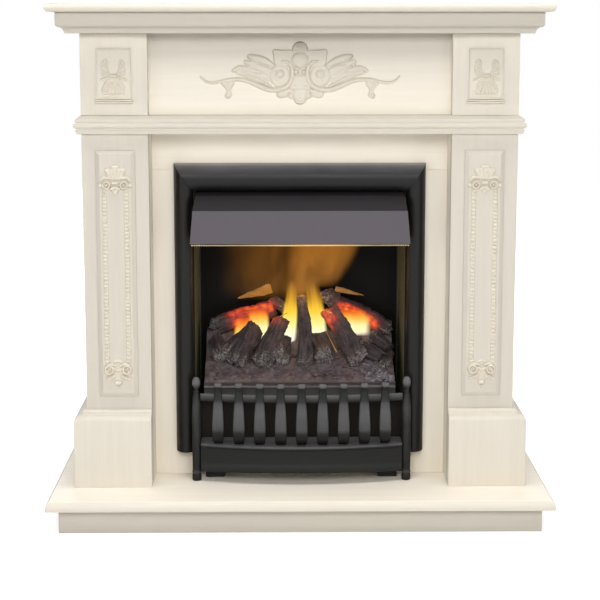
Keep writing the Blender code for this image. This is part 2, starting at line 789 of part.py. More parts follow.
def build_frieze():
    heights = (ASTRAGAL_TOP + GAP, FRIEZE_TOP - GAP)
    box("frieze_board", (-COLUMN_INNER + GAP, COLUMN_INNER - GAP),
        (FRIEZE_Y, FRIEZE_Y + FRONT_BOARD_THICK), heights, PAINT)
    plaque_z = ASTRAGAL_TOP + PLAQUE_RISE + PLAQUE_HEIGHT / 2
    for word, side in SIDES:
        box("frieze_block_" + word, side_range(side, COLUMN_INNER, COLUMN_OUTER),
            (COLUMN_Y, COLUMN_BACK_Y - GAP), heights, PAINT)
        half = PLAQUE_WIDTH / 2
        tall = PLAQUE_HEIGHT / 2
        plaque = loft("rosette_plaque_" + word,
                      [[(-half + inset, -proud, -tall + inset), (half - inset, -proud, -tall + inset),
                        (half - inset, -proud, tall - inset), (-half + inset, -proud, tall - inset)]
                       for inset, proud in ((0.0, 0.0), (0.0, PLAQUE_STEP),
                                            (PLAQUE_EDGE, PLAQUE_THICK))], CARVING)
        flower = plate("flower", [rosette_outline()], ORNAMENT_THICK + PLAQUE_STEP)
        flower.location.y = -PLAQUE_THICK - (ORNAMENT_THICK - PLAQUE_STEP) / 2
        join(plaque, flower)
        plaque.location = (side * COLUMN_MIDDLE, COLUMN_Y - GAP, plaque_z)
    ornament = plate("frieze_ornament", [frieze_ornament_outline()], FRIEZE_ORNAMENT_THICK,
                     CARVING, rounding=FRIEZE_ORNAMENT_ROUND)
    ornament.location = (0.0, FRIEZE_Y - GAP - FRIEZE_ORNAMENT_THICK / 2,
                         ASTRAGAL_TOP + FRIEZE_ORNAMENT_RISE)


def build_facing():
    edge = TRIM_INNER + RUNNING_GAP
    lower = HEARTH_TOP + GAP
    for word, side in SIDES:
        box("facing_stile_" + word, side_range(side, edge, COLUMN_INNER - GAP),
            (FACING_Y, FACING_BACK_Y), (lower, HEADER_BOTTOM - GAP), PAINT)
    box("facing_sill", (-edge + GAP, edge - GAP), (FACING_Y, FACING_BACK_Y),
        (lower, INSERT_BOTTOM - GAP), PAINT)
    box("header_panel", (-COLUMN_INNER + GAP, COLUMN_INNER - GAP),
        (HEADER_Y, HEADER_Y + BOARD_THICK), (HEADER_BOTTOM, COLUMN_TOP + HEADER_LAP), PAINT)


# The fire's metalwork


def build_case():
    """The steel case: it stands on the hearth behind the sill and is open above its front."""
    side = TRIM_INNER
    back = CASE_BACK_Y
    case = box("insert_case", (-side, side), (CASE_FRONT_Y, back), (INSERT_BOTTOM, CASE_TOP),
               BLACK_STEEL)
    foot_front = FACING_BACK_Y + GAP
    foot = box("foot", (-side, side), (foot_front, back), (CASE_BOTTOM, INSERT_BOTTOM + SHEET))
    reach = side + FLANGE
    flange = box("flange", (-reach, reach), (CASE_FRONT_Y, CASE_FRONT_Y + SHEET),
                 (INSERT_BOTTOM, CASE_TOP))
    join(case, foot, flange)
    lower_room = box("lower_room", (-CASE_INSIDE, CASE_INSIDE),
                     (foot_front + SHEET, back - SHEET),
                     (CASE_BOTTOM + SHEET, CASE_TOP - SHEET))
    front_room = box("front_room", (-CASE_INSIDE, CASE_INSIDE),
                     (CASE_FRONT_Y + SHEET, foot_front + 2 * SHEET),
                     (INSERT_BOTTOM + SHEET, CASE_TOP - SHEET))
    mouth = box("mouth", (-CASE_INSIDE, CASE_INSIDE),
                (CASE_FRONT_Y - CUT_OVER, CASE_FRONT_Y + 2 * SHEET),
                (CASE_MOUTH, CASE_TOP - SHEET))
    gland_hole = cylinder("gland_hole", gland_place(back), "Y", GLAND_RADIUS, 4 * CUT_OVER,
                          sides=20)
    cut(case, lower_room, front_room, mouth, gland_hole)
    ledges = []
    for _, way in SIDES:
        ledges.append(box("bed_ledge", side_range(way, CASE_INSIDE - BED_LEDGE, side - SHEET / 2),
                          (CASE_FRONT_Y + SHEET / 2, back - SHEET / 2),
                          (CASE_MOUTH - SHEET, CASE_MOUTH)))
    join(case, *ledges)


def gland_place(depth_y):
    return (CASE_INSIDE - GLAND_SIDE_GAP, depth_y, HEARTH_TOP + GLAND_RISE)


def build_trim():
    """Three convex rails, mitred at the upper corners."""
    def profile(width):
        """Across from the inner edge, and how far it stands proud: a roll with its crest inside."""
        crest = width * TRIM_CREST
        outside = arc((crest, TRIM_EDGE), (width - crest, TRIM_PROUD - TRIM_EDGE), 0, 90, 10)
        inside = arc((crest, TRIM_INNER_PROUD), (crest, TRIM_PROUD - TRIM_INNER_PROUD), 90, 180, 6)
        return [(0.0, 0.0), (width, 0.0)] + outside + inside[1:]

    half = TRIM_WIDTH / 2
    inner_top = TRIM_TOP - TRIM_TOP_FACE
    corner = Vector((half, 0.0, TRIM_TOP))
    inner_corner = Vector((TRIM_INNER, 0.0, inner_top))
    along = (corner - inner_corner).normalized()
    upward = Vector((-along.z, 0.0, along.x))
    clearance = upward * (GAP / 2)
    for word, side in SIDES:
        sections = [[(TRIM_INNER + across, TRIM_BACK_Y - proud, height)
                     for across, proud in profile(TRIM_SIDE_FACE)]
                    for height in (INSERT_BOTTOM, TRIM_TOP + CUT_OVER)]
        rail = loft("rail", sections, BLACK_STEEL, smooth=True)
        slice_off(rail, corner - clearance, upward)
        if side > 0:
            rail.name = "trim_right"
            finish(rail, BLACK_STEEL)
        else:
            mirrored(rail, "trim_left")
            bpy.data.objects.remove(rail, do_unlink=True)
    sections = [[(across, TRIM_BACK_Y - proud, inner_top + up)
                 for up, proud in profile(TRIM_TOP_FACE)]
                for across in (-half - CUT_OVER, half + CUT_OVER)]
    rail = loft("trim_top", sections, BLACK_STEEL, smooth=True)
    slice_off(rail, corner + clearance, -upward)
    mirror_up = Vector((-upward.x, 0.0, upward.z))
    slice_off(rail, Vector((-corner.x, 0.0, corner.z)) + mirror_up * (GAP / 2), -mirror_up)


def hood_lines():
    """The hood's fold lines: half width, Y and Z, from the back flange down to the lower edge."""
    top_z = TRIM_TOP - HOOD_TOP_DROP
    inside = CASE_INSIDE - HOOD_FLANGE_GAP
    slope_y = TRIM_FRONT_Y - HOOD_SLOPE_REACH
    face_y = TRIM_FRONT_Y - HOOD_REACH
    slope_z = top_z - HOOD_SLOPE_DROP
    flange_y = CASE_FRONT_Y + HOOD_FLANGE_SET
    return [(inside, flange_y, CASE_TOP - SHEET - GAP),
            (inside, flange_y, top_z + HOOD_SHELF_RISE),
            (TRIM_INNER - HOOD_FLARE, TRIM_FRONT_Y, top_z),
            (TRIM_INNER - HOOD_FLARE / 2, slope_y, slope_z),
            (TRIM_INNER + HOOD_SHEET, face_y, slope_z - HOOD_FACE_DROP)]


def build_hood():
    lines = hood_lines()
    shape = bmesh.new()
    rows = [[shape.verts.new((-half, y, z)), shape.verts.new((half, y, z))]
            for half, y, z in lines]
    for upper, lower in zip(rows, rows[1:]):
        shape.faces.new((upper[0], lower[0], lower[1], upper[1]))
    cheek_y = TRIM_FRONT_Y + HOOD_CHEEK_DEPTH
    for way, column in ((-1, 0), (1, 1)):
        half = CASE_INSIDE - HOOD_FLANGE_GAP
        back_low = shape.verts.new((way * half, cheek_y, lines[4][2] + HOOD_CHEEK_STEP))
        back_high = shape.verts.new((way * half, cheek_y, lines[2][2] - HOOD_CHEEK_STEP))
        loop = [rows[2][column], rows[3][column], rows[4][column], back_low, back_high]
        shape.faces.new(loop if way < 0 else loop[::-1])
    bmesh.ops.recalc_face_normals(shape, faces=shape.faces)
    mesh = bpy.data.meshes.new("hood")
    shape.to_mesh(mesh)
    shape.free()
    hood = add("hood", mesh, HOOD_STEEL)
    thicken = hood.modifiers.new("Sheet", "SOLIDIFY")
    thicken.thickness = HOOD_SHEET
    thicken.offset = 0.0
    thicken.use_even_offset = True
    bake(hood)
    half, y, z = lines[-1]
    box("hood_edge_strip", (-half + HOOD_SHEET, half - HOOD_SHEET),
        (y - HOOD_STRIP / 2, y + HOOD_STRIP / 2),
        (z - HOOD_SHEET / 2 - GAP - HOOD_STRIP, z - HOOD_SHEET / 2 - GAP), BRASS)


# The fret


def bow(across, end_y, depth):
    """A parabola through the posts that stands furthest forward in the middle."""
    half = POST_SPREAD / 2
    return end_y - depth * (1.0 - (across / half) ** 2)


def bowed_band(name, half, front, back, bottom, top, look=None, steps=14):
    """A band in plan between two Y functions of X, from one height to another."""
    across = [-half + 2 * half * i / steps for i in range(steps + 1)]
    outline = [(x, front(x)) for x in across] + [(x, back(x)) for x in reversed(across)]
    sections = [[(x, y, z) for x, y in outline] for z in (bottom, top)]
    return loft(name, sections, look)


POST_Y = TRIM_FRONT_Y - GAP - POST_RADIUS


def rail_line(across):
    return bow(across, POST_Y, RAIL_BOW)


def ledge_line(across):
    return bow(across, POST_Y - POST_RADIUS, FRET_FRONT_BOW)


BAR_STATIONS = [  # share of the bar's height, then in drawing units forward of the rail and width
    (1.0, 11.5, 8.0), (0.975, 12.5, 12.5), (0.94, 11.0, 14.5), (0.90, 7.0, 15.0), (0.85, 3.0, 15.5),
    (0.76, 4.5, 16.5), (0.60, 9.5, 19.5), (0.42, 14.0, 22.0), (0.28, 16.0, 23.0),
    (0.17, 13.0, 23.0), (0.09, 6.0, 21.5), (0.035, -3.0, 18.0), (0.0, -11.0, 16.0)]
BAR_FACE = 0.8


def fret_bar(across):
    """One flat bar: its tip curls forward, it widens downward and curls back under."""
    foot = HEARTH_TOP + LEDGE_BOTTOM + LEDGE_THICK - BAR_ROOT
    sections = []
    for share, forward, width in BAR_STATIONS:
        height = foot + share * (BAR_HEIGHT + BAR_ROOT)
        y = rail_line(across) - forward * DRAWING_UNIT
        half = width * DRAWING_UNIT / 2
        face = half * BAR_FACE
        ring = [(-half, 0.5), (half, 0.5), (half, -0.2), (face, -0.5), (-face, -0.5), (-half, -0.2)]
        sections.append([(across + dx, y + dy * BAR_THICK, height) for dx, dy in ring])
    return loft("bar", sections)


def build_fret():
    inner = POST_SPREAD / 2 - POST_RADIUS + POST_LAP
    ledge_low = HEARTH_TOP + LEDGE_BOTTOM
    ledge_high = ledge_low + LEDGE_THICK
    apron_low = ledge_low - APRON_DROP
    back_y = TRIM_BACK_Y - FRET_BACK_GAP
    casting = bowed_band("fret_casting", inner, ledge_line, lambda x: back_y, ledge_low,
                         ledge_high, CAST_IRON)
    apron = bowed_band("apron", inner, lambda x: ledge_line(x) + LEDGE_LIP,
                       lambda x: ledge_line(x) + LEDGE_LIP + APRON_THICK,
                       apron_low, ledge_low + LEDGE_LIP)
    rail = bowed_band("rail", inner, lambda x: rail_line(x) - RAIL_DEPTH / 2,
                      lambda x: rail_line(x) + RAIL_DEPTH / 2,
                      HEARTH_TOP + RAIL_BOTTOM, HEARTH_TOP + RAIL_BOTTOM + RAIL_HEIGHT)
    middle = (BAR_COUNT - 1) / 2
    bars = [fret_bar((i - middle) * BAR_PITCH) for i in range(BAR_COUNT)]
    feet = []
    for _, side in SIDES:
        outer = inner - FOOT_INSET
        centre = side * (outer - FOOT_WIDTH / 2)
        front = ledge_line(centre) + FOOT_SETBACK
        feet.append(box("foot", side_range(side, outer - FOOT_WIDTH, outer),
                        (front, front + FOOT_DEPTH), (HEARTH_TOP + GAP, ledge_low + FOOT_LAP)))
    join(casting, apron, rail, *feet, *bars)
    casting.location.x = FRET_SHIFT
    for word, side in SIDES:
        post = turned("fret_post_" + word, post_profile(), CAST_IRON, sides=14)
        post.location = (FRET_SHIFT + side * POST_SPREAD / 2, POST_Y, HEARTH_TOP + GAP)
        cut(post, post_cut(side))


POST_HEAD = [  # share of the radius, and drawing units under the top
    (0.0, 0.0), (0.34, 1.5), (0.62, 6.0), (0.80, 11.5), (0.83, 16.0), (0.68, 21.0), (0.50, 24.5),
    (0.47, 28.0), (0.62, 33.0), (0.78, 42.0), (0.90, 60.0), (1.0, 90.0)]


def post_profile():
    """A turned post: a bud on a neck, a shaft that swells downward, and a foot."""
    radius = POST_RADIUS
    profile = [(radius * share, POST_HEIGHT - drop * DRAWING_UNIT) for share, drop in POST_HEAD]
    return profile + [(radius, POST_FOOT + 2 * POST_LAP), (radius - POST_LAP, POST_FOOT + POST_LAP),
                      (radius, POST_FOOT), (radius, 0.0), (0.0, 0.0)]


def post_cut(side):
    """Flattens a post where the casting's ends bolt to it."""
    edge = POST_SPREAD / 2 - POST_RADIUS + POST_LAP + GAP
    far = POST_SPREAD / 2 - 2 * POST_RADIUS
    x = side_range(side, far, edge)
    return box("flat", (x[0] + FRET_SHIFT, x[1] + FRET_SHIFT),
               (POST_Y - 2 * POST_RADIUS, POST_Y + 2 * POST_RADIUS),
               (0.0, HEARTH_TOP + POST_HEIGHT + CUT_OVER))


# The fuel bed


LOGS = {  # each end: share of half the bed's width, then drawing units behind its front and over
    # the ledges; and the radius at each end in drawing units
    "log_back_left": ((-0.917, 128, 124), (-0.271, 146, 159), 19.0, 17.0),
    "log_back_right": ((0.985, 128, 118), (0.350, 146, 166), 16.0, 20.0),
    "log_left": ((-0.690, 54, 67), (-0.500, 98, 128), 18.0, 17.0),
    "log_middle_left": ((-0.430, 54, 64), (-0.165, 100, 146), 15.0, 14.0),
    "log_centre": ((0.050, 54, 62), (0.021, 102, 194), 15.0, 12.0),
    "log_right": ((0.610, 54, 66), (0.310, 102, 163), 17.0, 15.0),
}
LOG_WAVE_ALONG = 2.2
LOG_WAVE_ROUND = 0.9
LOG_ROUGHNESS = 0.10


def log_sections(ends, radii, seed, grow=0.0, stations=7):
    """Rings along a log, with a lumpy, slightly crooked surface."""
    start, end = (Vector((share * BED_WIDTH / 2, bed_front() + behind * DRAWING_UNIT,
                          CASE_MOUTH + rise * DRAWING_UNIT)) for share, behind, rise in ends)
    along = (end - start).normalized()
    side = along.cross(Vector((0.0, 0.0, 1.0))).normalized()
    up = side.cross(along)
    sections = []
    for i in range(stations):
        share = i / (stations - 1)
        centre = start.lerp(end, share)
        radius = (radii[0] + (radii[1] - radii[0]) * share) * DRAWING_UNIT
        stretch = (share - 0.5) * 2 * grow
        ring = []
        for j in range(LOG_SIDES):
            angle = 2 * math.pi * j / LOG_SIDES
            wobble = noise.noise(Vector((seed,
                                         LOG_WAVE_ALONG * share + LOG_WAVE_ROUND * math.cos(angle),
                                         LOG_WAVE_ROUND * math.sin(angle))))
            reach = radius * (1.0 + 2 * LOG_ROUGHNESS * wobble) + grow
            ring.append(centre + along * stretch
                        + (side * math.cos(angle) + up * math.sin(angle)) * reach)
        sections.append(ring)
    return sections


def bed_surface(across, depth):
    """Height of the ember bed over its underside: a lip in front, rising to the back."""
    rise = BED_LIP + BED_SLOPE_RISE * ramp(depth - BED_SLOPE_START, BED_SLOPE_LENGTH)
    rise += BED_BACK_RISE * ramp(depth - BED_BACK_START, BED_BACK_LENGTH)
    if depth > BED_SLOPE_START:
        place = Vector((across / BED_LUMP_SIZE, depth / BED_LUMP_SIZE, 4.0))
        rise += noise.noise(place) * BED_LUMP_HEIGHT
    return rise


def ramp(distance, length):
    """Rises from 0 to 1 over a length."""
    return min(1.0, max(0.0, distance / length))


def bed_front():
    return CASE_FRONT_Y - BED_FRONT_REACH


def build_fuel_bed():
    front = bed_front()
    bottom = CASE_MOUTH + GAP
    half = BED_WIDTH / 2
    shape = bmesh.new()
    bmesh.ops.create_grid(shape, x_segments=BED_COLUMNS, y_segments=BED_ROWS, size=0.5)
    for vert in shape.verts:
        across = vert.co.x * BED_WIDTH
        depth = (vert.co.y + 0.5) * BED_DEPTH
        vert.co = (across, front + depth, bottom + bed_surface(across, depth))
    lower = bmesh.ops.extrude_face_region(shape, geom=shape.faces[:])
    for item in lower["geom"]:
        if isinstance(item, bmesh.types.BMVert):
            item.co.z = bottom
    bottom_faces = [face for face in shape.faces if all(v.co.z <= bottom + 1e-7 for v in face.verts)]
    bmesh.ops.dissolve_faces(shape, faces=bottom_faces)
    bmesh.ops.recalc_face_normals(shape, faces=shape.faces)
    mesh = bpy.data.meshes.new("ember_bed")
    shape.to_mesh(mesh)
    shape.free()
    bed = add("ember_bed", mesh, EMBER)
    slot_y = mist_middle_y()
    slot = box("slot", (-MIST_SLOT_WIDTH / 2, MIST_SLOT_WIDTH / 2),
               (slot_y - MIST_SLOT_DEPTH / 2, slot_y + MIST_SLOT_DEPTH / 2),
               (bottom - CUT_OVER, bottom + 0.2))
    cut(bed, slot, *bed_hollows(front, bottom))
    for seed, (name, (start, end, first, last)) in enumerate(LOGS.items()):
        log = loft(name, log_sections((start, end), (first, last), seed + 1), CHAR, smooth=True)
        log.data.name = name
        seat = loft("seat", log_sections((start, end), (first, last), seed + 1, grow=2 * GAP))
        cut(bed, seat)


def bed_hollows(front, bottom):
    """Stepped hollows that leave the bed a moulded shell, open underneath."""
    half = BED_WIDTH / 2 - BED_WALL
    back = front + BED_DEPTH - BED_WALL
    slope_top = BED_LIP + BED_SLOPE_RISE
    steps = ((BED_WALL, BED_LIP - BED_ROOF),
             (BED_SLOPE_START + BED_SLOPE_LENGTH, slope_top - BED_ROOF),
             (BED_BACK_START + BED_BACK_LENGTH, slope_top + BED_BACK_RISE - 2 * BED_ROOF))
    return [box("hollow", (-half, half), (front + start, back), (bottom - CUT_OVER, bottom + rise))
            for start, rise in steps]


# The mist unit under the fuel bed


def mist_middle_y():
    return CASE_BACK_Y - SHEET - GAP - SUMP_DEPTH / 2


def build_mist_unit():
    floor = CASE_BOTTOM + SHEET + GAP
    top = floor + SUMP_HEIGHT
    back = CASE_BACK_Y - SHEET - GAP
    front = back - SUMP_DEPTH
    sump = box("mist_sump", (-SUMP_WIDTH / 2, SUMP_WIDTH / 2), (front, back), (floor, top),
               BLACK_PLASTIC)
    tank_y = duct_y = mist_middle_y()
    well_floor = floor + SUMP_FLOOR
    well = box("well", (TANK_OFFSET - WELL_WIDTH / 2, TANK_OFFSET + WELL_WIDTH / 2),
               (tank_y - WELL_WIDTH / 2, tank_y + WELL_WIDTH / 2), (well_floor, top + CUT_OVER))
    trough = box("trough", (-DUCT_WIDTH / 2 + DUCT_RIM, DUCT_WIDTH / 2 - DUCT_RIM),
                 (duct_y - DUCT_DEPTH / 2 + DUCT_RIM, duct_y + DUCT_DEPTH / 2 - DUCT_RIM),
                 (well_floor, top + CUT_OVER))
    channel = box("channel", (TANK_OFFSET, 0.0),
                  (duct_y - CHANNEL_WIDTH / 2, duct_y + CHANNEL_WIDTH / 2),
                  (well_floor, well_floor + CHANNEL_HEIGHT))
    fan_well = cylinder("fan_well", (FAN_OFFSET, tank_y, top), "Z", FAN_WELL_RADIUS,
                        2 * FAN_WELL_DEPTH, sides=28)
    cut(sump, well, trough, channel, fan_well)
    pin = cylinder("pin", (FAN_OFFSET, tank_y, top - FAN_PIN_TOP - FAN_PIN_HEIGHT / 2), "Z",
                   FAN_PIN_RADIUS, FAN_PIN_HEIGHT, sides=12)
    join(sump, pin)
    cylinder("mist_transducer", (0.0, duct_y, well_floor + GAP + TRANSDUCER_HEIGHT / 2), "Z",
             TRANSDUCER_RADIUS, TRANSDUCER_HEIGHT, GALVANISED, sides=24)
    build_tank(tank_y, top + GAP)
    build_duct(duct_y, top + GAP)
    build_mist_fan(tank_y, top)
    build_lamps(duct_y - DUCT_DEPTH / 2 - LAMP_GAP - LAMP_STRIP_DEPTH / 2, top + GAP)
    build_circuit_board(tank_y, top + GAP)


def build_tank(middle_y, bottom):
    """An inverted tank: its neck and screw cap point down into the sump's well."""
    half_x = TANK_WIDTH / 2
    half_y = TANK_DEPTH / 2
    tank = box("water_tank", (TANK_OFFSET - half_x, TANK_OFFSET + half_x),
               (middle_y - half_y, middle_y + half_y), (bottom, bottom + TANK_HEIGHT),
               TANK_PLASTIC)
    round_edges(tank, TANK_ROUND, 2)
    bake(tank)
    neck = cylinder("neck", (TANK_OFFSET, middle_y, bottom - (NECK_HEIGHT - TANK_WALL) / 2), "Z",
                    NECK_RADIUS, NECK_HEIGHT + TANK_WALL, sides=24)
    join(tank, neck)
    wall = TANK_WALL
    room = box("room", (TANK_OFFSET - half_x + wall, TANK_OFFSET + half_x - wall),
               (middle_y - half_y + wall, middle_y + half_y - wall),
               (bottom + wall, bottom + TANK_HEIGHT - wall))
    bore = cylinder("bore", (TANK_OFFSET, middle_y, bottom), "Z", NECK_BORE, 3 * NECK_HEIGHT,
                    sides=24)
    cut(tank, room, bore)
    roof = bottom + TANK_HEIGHT
    grip = box("grip", (TANK_OFFSET - GRIP_WIDTH / 2, TANK_OFFSET + GRIP_WIDTH / 2),
               (middle_y - GRIP_DEPTH / 2, middle_y + GRIP_DEPTH / 2),
               (roof - TANK_WALL / 2, roof + GRIP_HEIGHT))
    reach = GRIP_WIDTH / 2 - GRIP_POST
    hand = box("hand", (TANK_OFFSET - reach, TANK_OFFSET + reach),
               (middle_y - GRIP_DEPTH, middle_y + GRIP_DEPTH), (roof, roof + GRIP_HEIGHT - GRIP_BAR))
    cut(grip, hand)
    join(tank, grip)
    move_origin(tank, (TANK_OFFSET, middle_y, bottom))
    high = bottom - RUNNING_GAP
    low = high - CAP_HEIGHT
    cup = high - NECK_HEIGHT - RUNNING_GAP
    bore_r = NECK_RADIUS + RUNNING_GAP
    profile = [(bore_r, high), (CAP_RADIUS, high), (CAP_RADIUS, low + CAP_FLOOR_ROUND),
               (CAP_RADIUS - CAP_FLOOR_ROUND, low), (0.0, low), (0.0, cup), (bore_r, cup)]
    profile = [(radius, height - high) for radius, height in profile]
    cap = closed_turning("tank_cap", profile, BLACK_PLASTIC, 24)
    cap.location = (TANK_OFFSET, middle_y, high)
    ribs = []
    for i in range(CAP_RIBS):
        angle = 2 * math.pi * i / CAP_RIBS
        rib = box("rib", (CAP_RADIUS - CAP_RIB, CAP_RADIUS + CAP_RIB), (-CAP_RIB, CAP_RIB),
                  (-CAP_HEIGHT + CAP_FLOOR_ROUND + CAP_RIB, -CAP_RIB))
        rib.data.transform(Matrix.Translation(rib.location))
        rib.location = cap.location
        rib.rotation_euler.z = angle
        ribs.append(rib)
    join(cap, *ribs)


def closed_turning(name, profile, look, sides):
    """A turned solid whose profile closes on itself away from the axis, or touches it twice."""
    return turned(name, profile + [profile[0]], look, sides)


def build_duct(middle_y, bottom):
    """A chimney over the transducer that narrows to the slot under the fuel bed."""
    top = CASE_MOUTH - DUCT_TOP_GAP
    shoulder = bottom + DUCT_SHOULDER
    throat = (MIST_SLOT_WIDTH / 2 - THROAT_SIDE_GAP, MIST_SLOT_DEPTH / 2 - THROAT_END_GAP)

    def tower(name, shrink, low, high, look=None):
        sections = []
        for height, half_x, half_y in ((low, DUCT_WIDTH / 2, DUCT_DEPTH / 2),
                                       (shoulder, DUCT_WIDTH / 2, DUCT_DEPTH / 2),
                                       (shoulder + DUCT_TAPER, *throat), (high, *throat)):
            hx, hy = half_x - shrink, half_y - shrink
            sections.append([(-hx, middle_y - hy, height), (hx, middle_y - hy, height),
                             (hx, middle_y + hy, height), (-hx, middle_y + hy, height)])
        return loft(name, sections, look)

    duct = tower("mist_duct", 0.0, bottom, top, BLACK_PLASTIC)
    cut(duct, tower("inside", DUCT_WALL, bottom - CUT_OVER, top + CUT_OVER))


def build_mist_fan(middle_y, sump_top):
    """A small axial wheel on the pin in the sump's fan well."""
    bottom = sump_top - FAN_DROP
    bore = FAN_PIN_RADIUS + RUNNING_GAP
    hub = closed_turning("mist_fan", [(FAN_HUB_RADIUS, FAN_HEIGHT), (FAN_HUB_RADIUS, 0.0),
                                      (bore, 0.0), (bore, FAN_HEIGHT)], BLACK_PLASTIC, 20)
    root = FAN_HUB_RADIUS - FAN_BLADE_THICK
    blades = []
    for i in range(FAN_BLADES):
        blade = box("blade", (root, FAN_RADIUS), (-FAN_BLADE_THICK / 2, FAN_BLADE_THICK / 2),
                    (-FAN_HEIGHT / 2, FAN_HEIGHT / 2))
        blade.data.transform(Matrix.Rotation(math.radians(FAN_PITCH), 4, "X"))
        blade.data.transform(Matrix.Translation(Vector((blade.location.x, 0.0, FAN_HEIGHT / 2))))
        blade.location = (0.0, 0.0, 0.0)
        blade.rotation_euler.z = 2 * math.pi * i / FAN_BLADES
        blades.append(blade)
    join(hub, *blades)
    hub.location = (FAN_OFFSET, middle_y, bottom)


def build_lamps(middle_y, bottom):
    """A strip with a row of lamps that light the mist from below."""
    strip = box("lamp_strip", (-DUCT_WIDTH / 2, DUCT_WIDTH / 2),
                (middle_y - LAMP_STRIP_DEPTH / 2, middle_y + LAMP_STRIP_DEPTH / 2),
                (bottom, bottom + LAMP_STRIP_HEIGHT), LAMP_GLASS)
    pitch = DUCT_WIDTH / LAMP_COUNT
    seat = LAMP_STRIP_HEIGHT / 3
    domes = []
    for i in range(LAMP_COUNT):
        across = (i - (LAMP_COUNT - 1) / 2) * pitch
        rounded = arc((0.0, LAMP_HEIGHT - LAMP_RADIUS), (LAMP_RADIUS, LAMP_RADIUS), 90, 0, 4)
        rounded[0] = (0.0, LAMP_HEIGHT)
        dome = turned("dome", rounded + [(LAMP_RADIUS, 0.0), (0.0, 0.0)], None, 12)
        dome.location = (across, middle_y, bottom + seat)
        domes.append(dome)
    join(strip, *domes)


def build_circuit_board(middle_y, bottom):
    """The control board on four feet at the right of the sump, with its larger components."""
    high = SUMP_WIDTH / 2 - BOARD_INSET
    low = high - BOARD_WIDTH
    y0, y1 = middle_y - BOARD_DEPTH / 2, middle_y + BOARD_DEPTH / 2
    board_z = bottom + BOARD_RISE
    board = box("circuit_board", (low, high), (y0, y1), (board_z, board_z + BOARD_SHEET), BOARD_GREEN)
    feet = [box("foot", (x - BOARD_FOOT / 2, x + BOARD_FOOT / 2),
                (y - BOARD_FOOT / 2, y + BOARD_FOOT / 2), (bottom, board_z + COMPONENT_LAP))
            for x in (low + BOARD_INSET, high - BOARD_INSET)
            for y in (y0 + BOARD_INSET, y1 - BOARD_INSET)]
    seat = board_z + BOARD_SHEET - COMPONENT_LAP
    components = [box(name, (low + left * DRAWING_UNIT, low + right * DRAWING_UNIT),
                      (y0 + near * DRAWING_UNIT, y0 + far * DRAWING_UNIT),
                      (seat, seat + tall * DRAWING_UNIT))
                  for name, left, right, near, far, tall in (("transformer", 12, 40, 16, 44, 22),
                                                             ("relay", 10, 26, 70, 90, 15),
                                                             ("heat_sink", 40, 46, 60, 92, 20))]
    join(board, *feet, *components)


# The fan heater in the roof of the case


def heater_box_ranges():
    half = HEATER_WIDTH / 2
    front = CASE_FRONT_Y + HEATER_SETBACK
    top = CASE_TOP - SHEET - GAP
    return ((HEATER_OFFSET - half, HEATER_OFFSET + half), (front, front + HEATER_DEPTH),
            (top - HEATER_HEIGHT, top))


def build_heater():
    xs, ys, zs = heater_box_ranges()
    casing = box("heater_box", xs, ys, zs, GALVANISED)
    inside = box("inside", (xs[0] + SHEET, xs[1] - SHEET), (ys[0] - CUT_OVER, ys[1] - SHEET),
                 (zs[0] + SHEET, zs[1] - SHEET))
    axle_y = ys[1] - SHEET - WHEEL_RADIUS - WHEEL_BACK_GAP
    axle_z = (zs[0] + zs[1]) / 2
    bearings = cylinder("bearings", (HEATER_OFFSET, axle_y, axle_z), "X",
                        SHAFT_RADIUS + RUNNING_GAP, HEATER_WIDTH + 4 * CUT_OVER, sides=16)
    inlet = box("inlet", (xs[0] + INLET_MARGIN, xs[1] - INLET_MARGIN),
                (ys[1] - CUT_OVER, ys[1] + CUT_OVER), (zs[0] + INLET_MARGIN, zs[1] - INLET_MARGIN))
    cut(casing, inside, bearings, inlet)
    build_element(xs, ys, zs)
    build_wheel(xs, axle_y, axle_z)


def build_element(xs, ys, zs):
    """A finned heating element across the outlet, its rails between the roof and the floor."""
    y = ys[0] + ELEMENT_SETBACK
    half = ELEMENT_DEPTH / 2
    left, right = xs[0] + ELEMENT_MARGIN, xs[1] - ELEMENT_MARGIN
    low, high = zs[0] + SHEET + GAP, zs[1] - SHEET - GAP
    element = box("heating_element", (left, right), (y - half, y + half),
                  (high - ELEMENT_RAIL, high), CERAMIC)
    lower = box("lower_rail", (left, right), (y - half, y + half), (low, low + ELEMENT_RAIL))
    pitch = (right - left) / ELEMENT_FINS
    inset = ELEMENT_RAIL - FIN_LAP
    fins = []
    for i in range(ELEMENT_FINS):
        x = left + pitch * (i + 0.5)
        fins.append(box("fin", (x - FIN_WIDTH / 2, x + FIN_WIDTH / 2),
                        (y - FIN_DEPTH / 2, y + FIN_DEPTH / 2), (low + inset, high - inset)))
    join(element, lower, *fins)


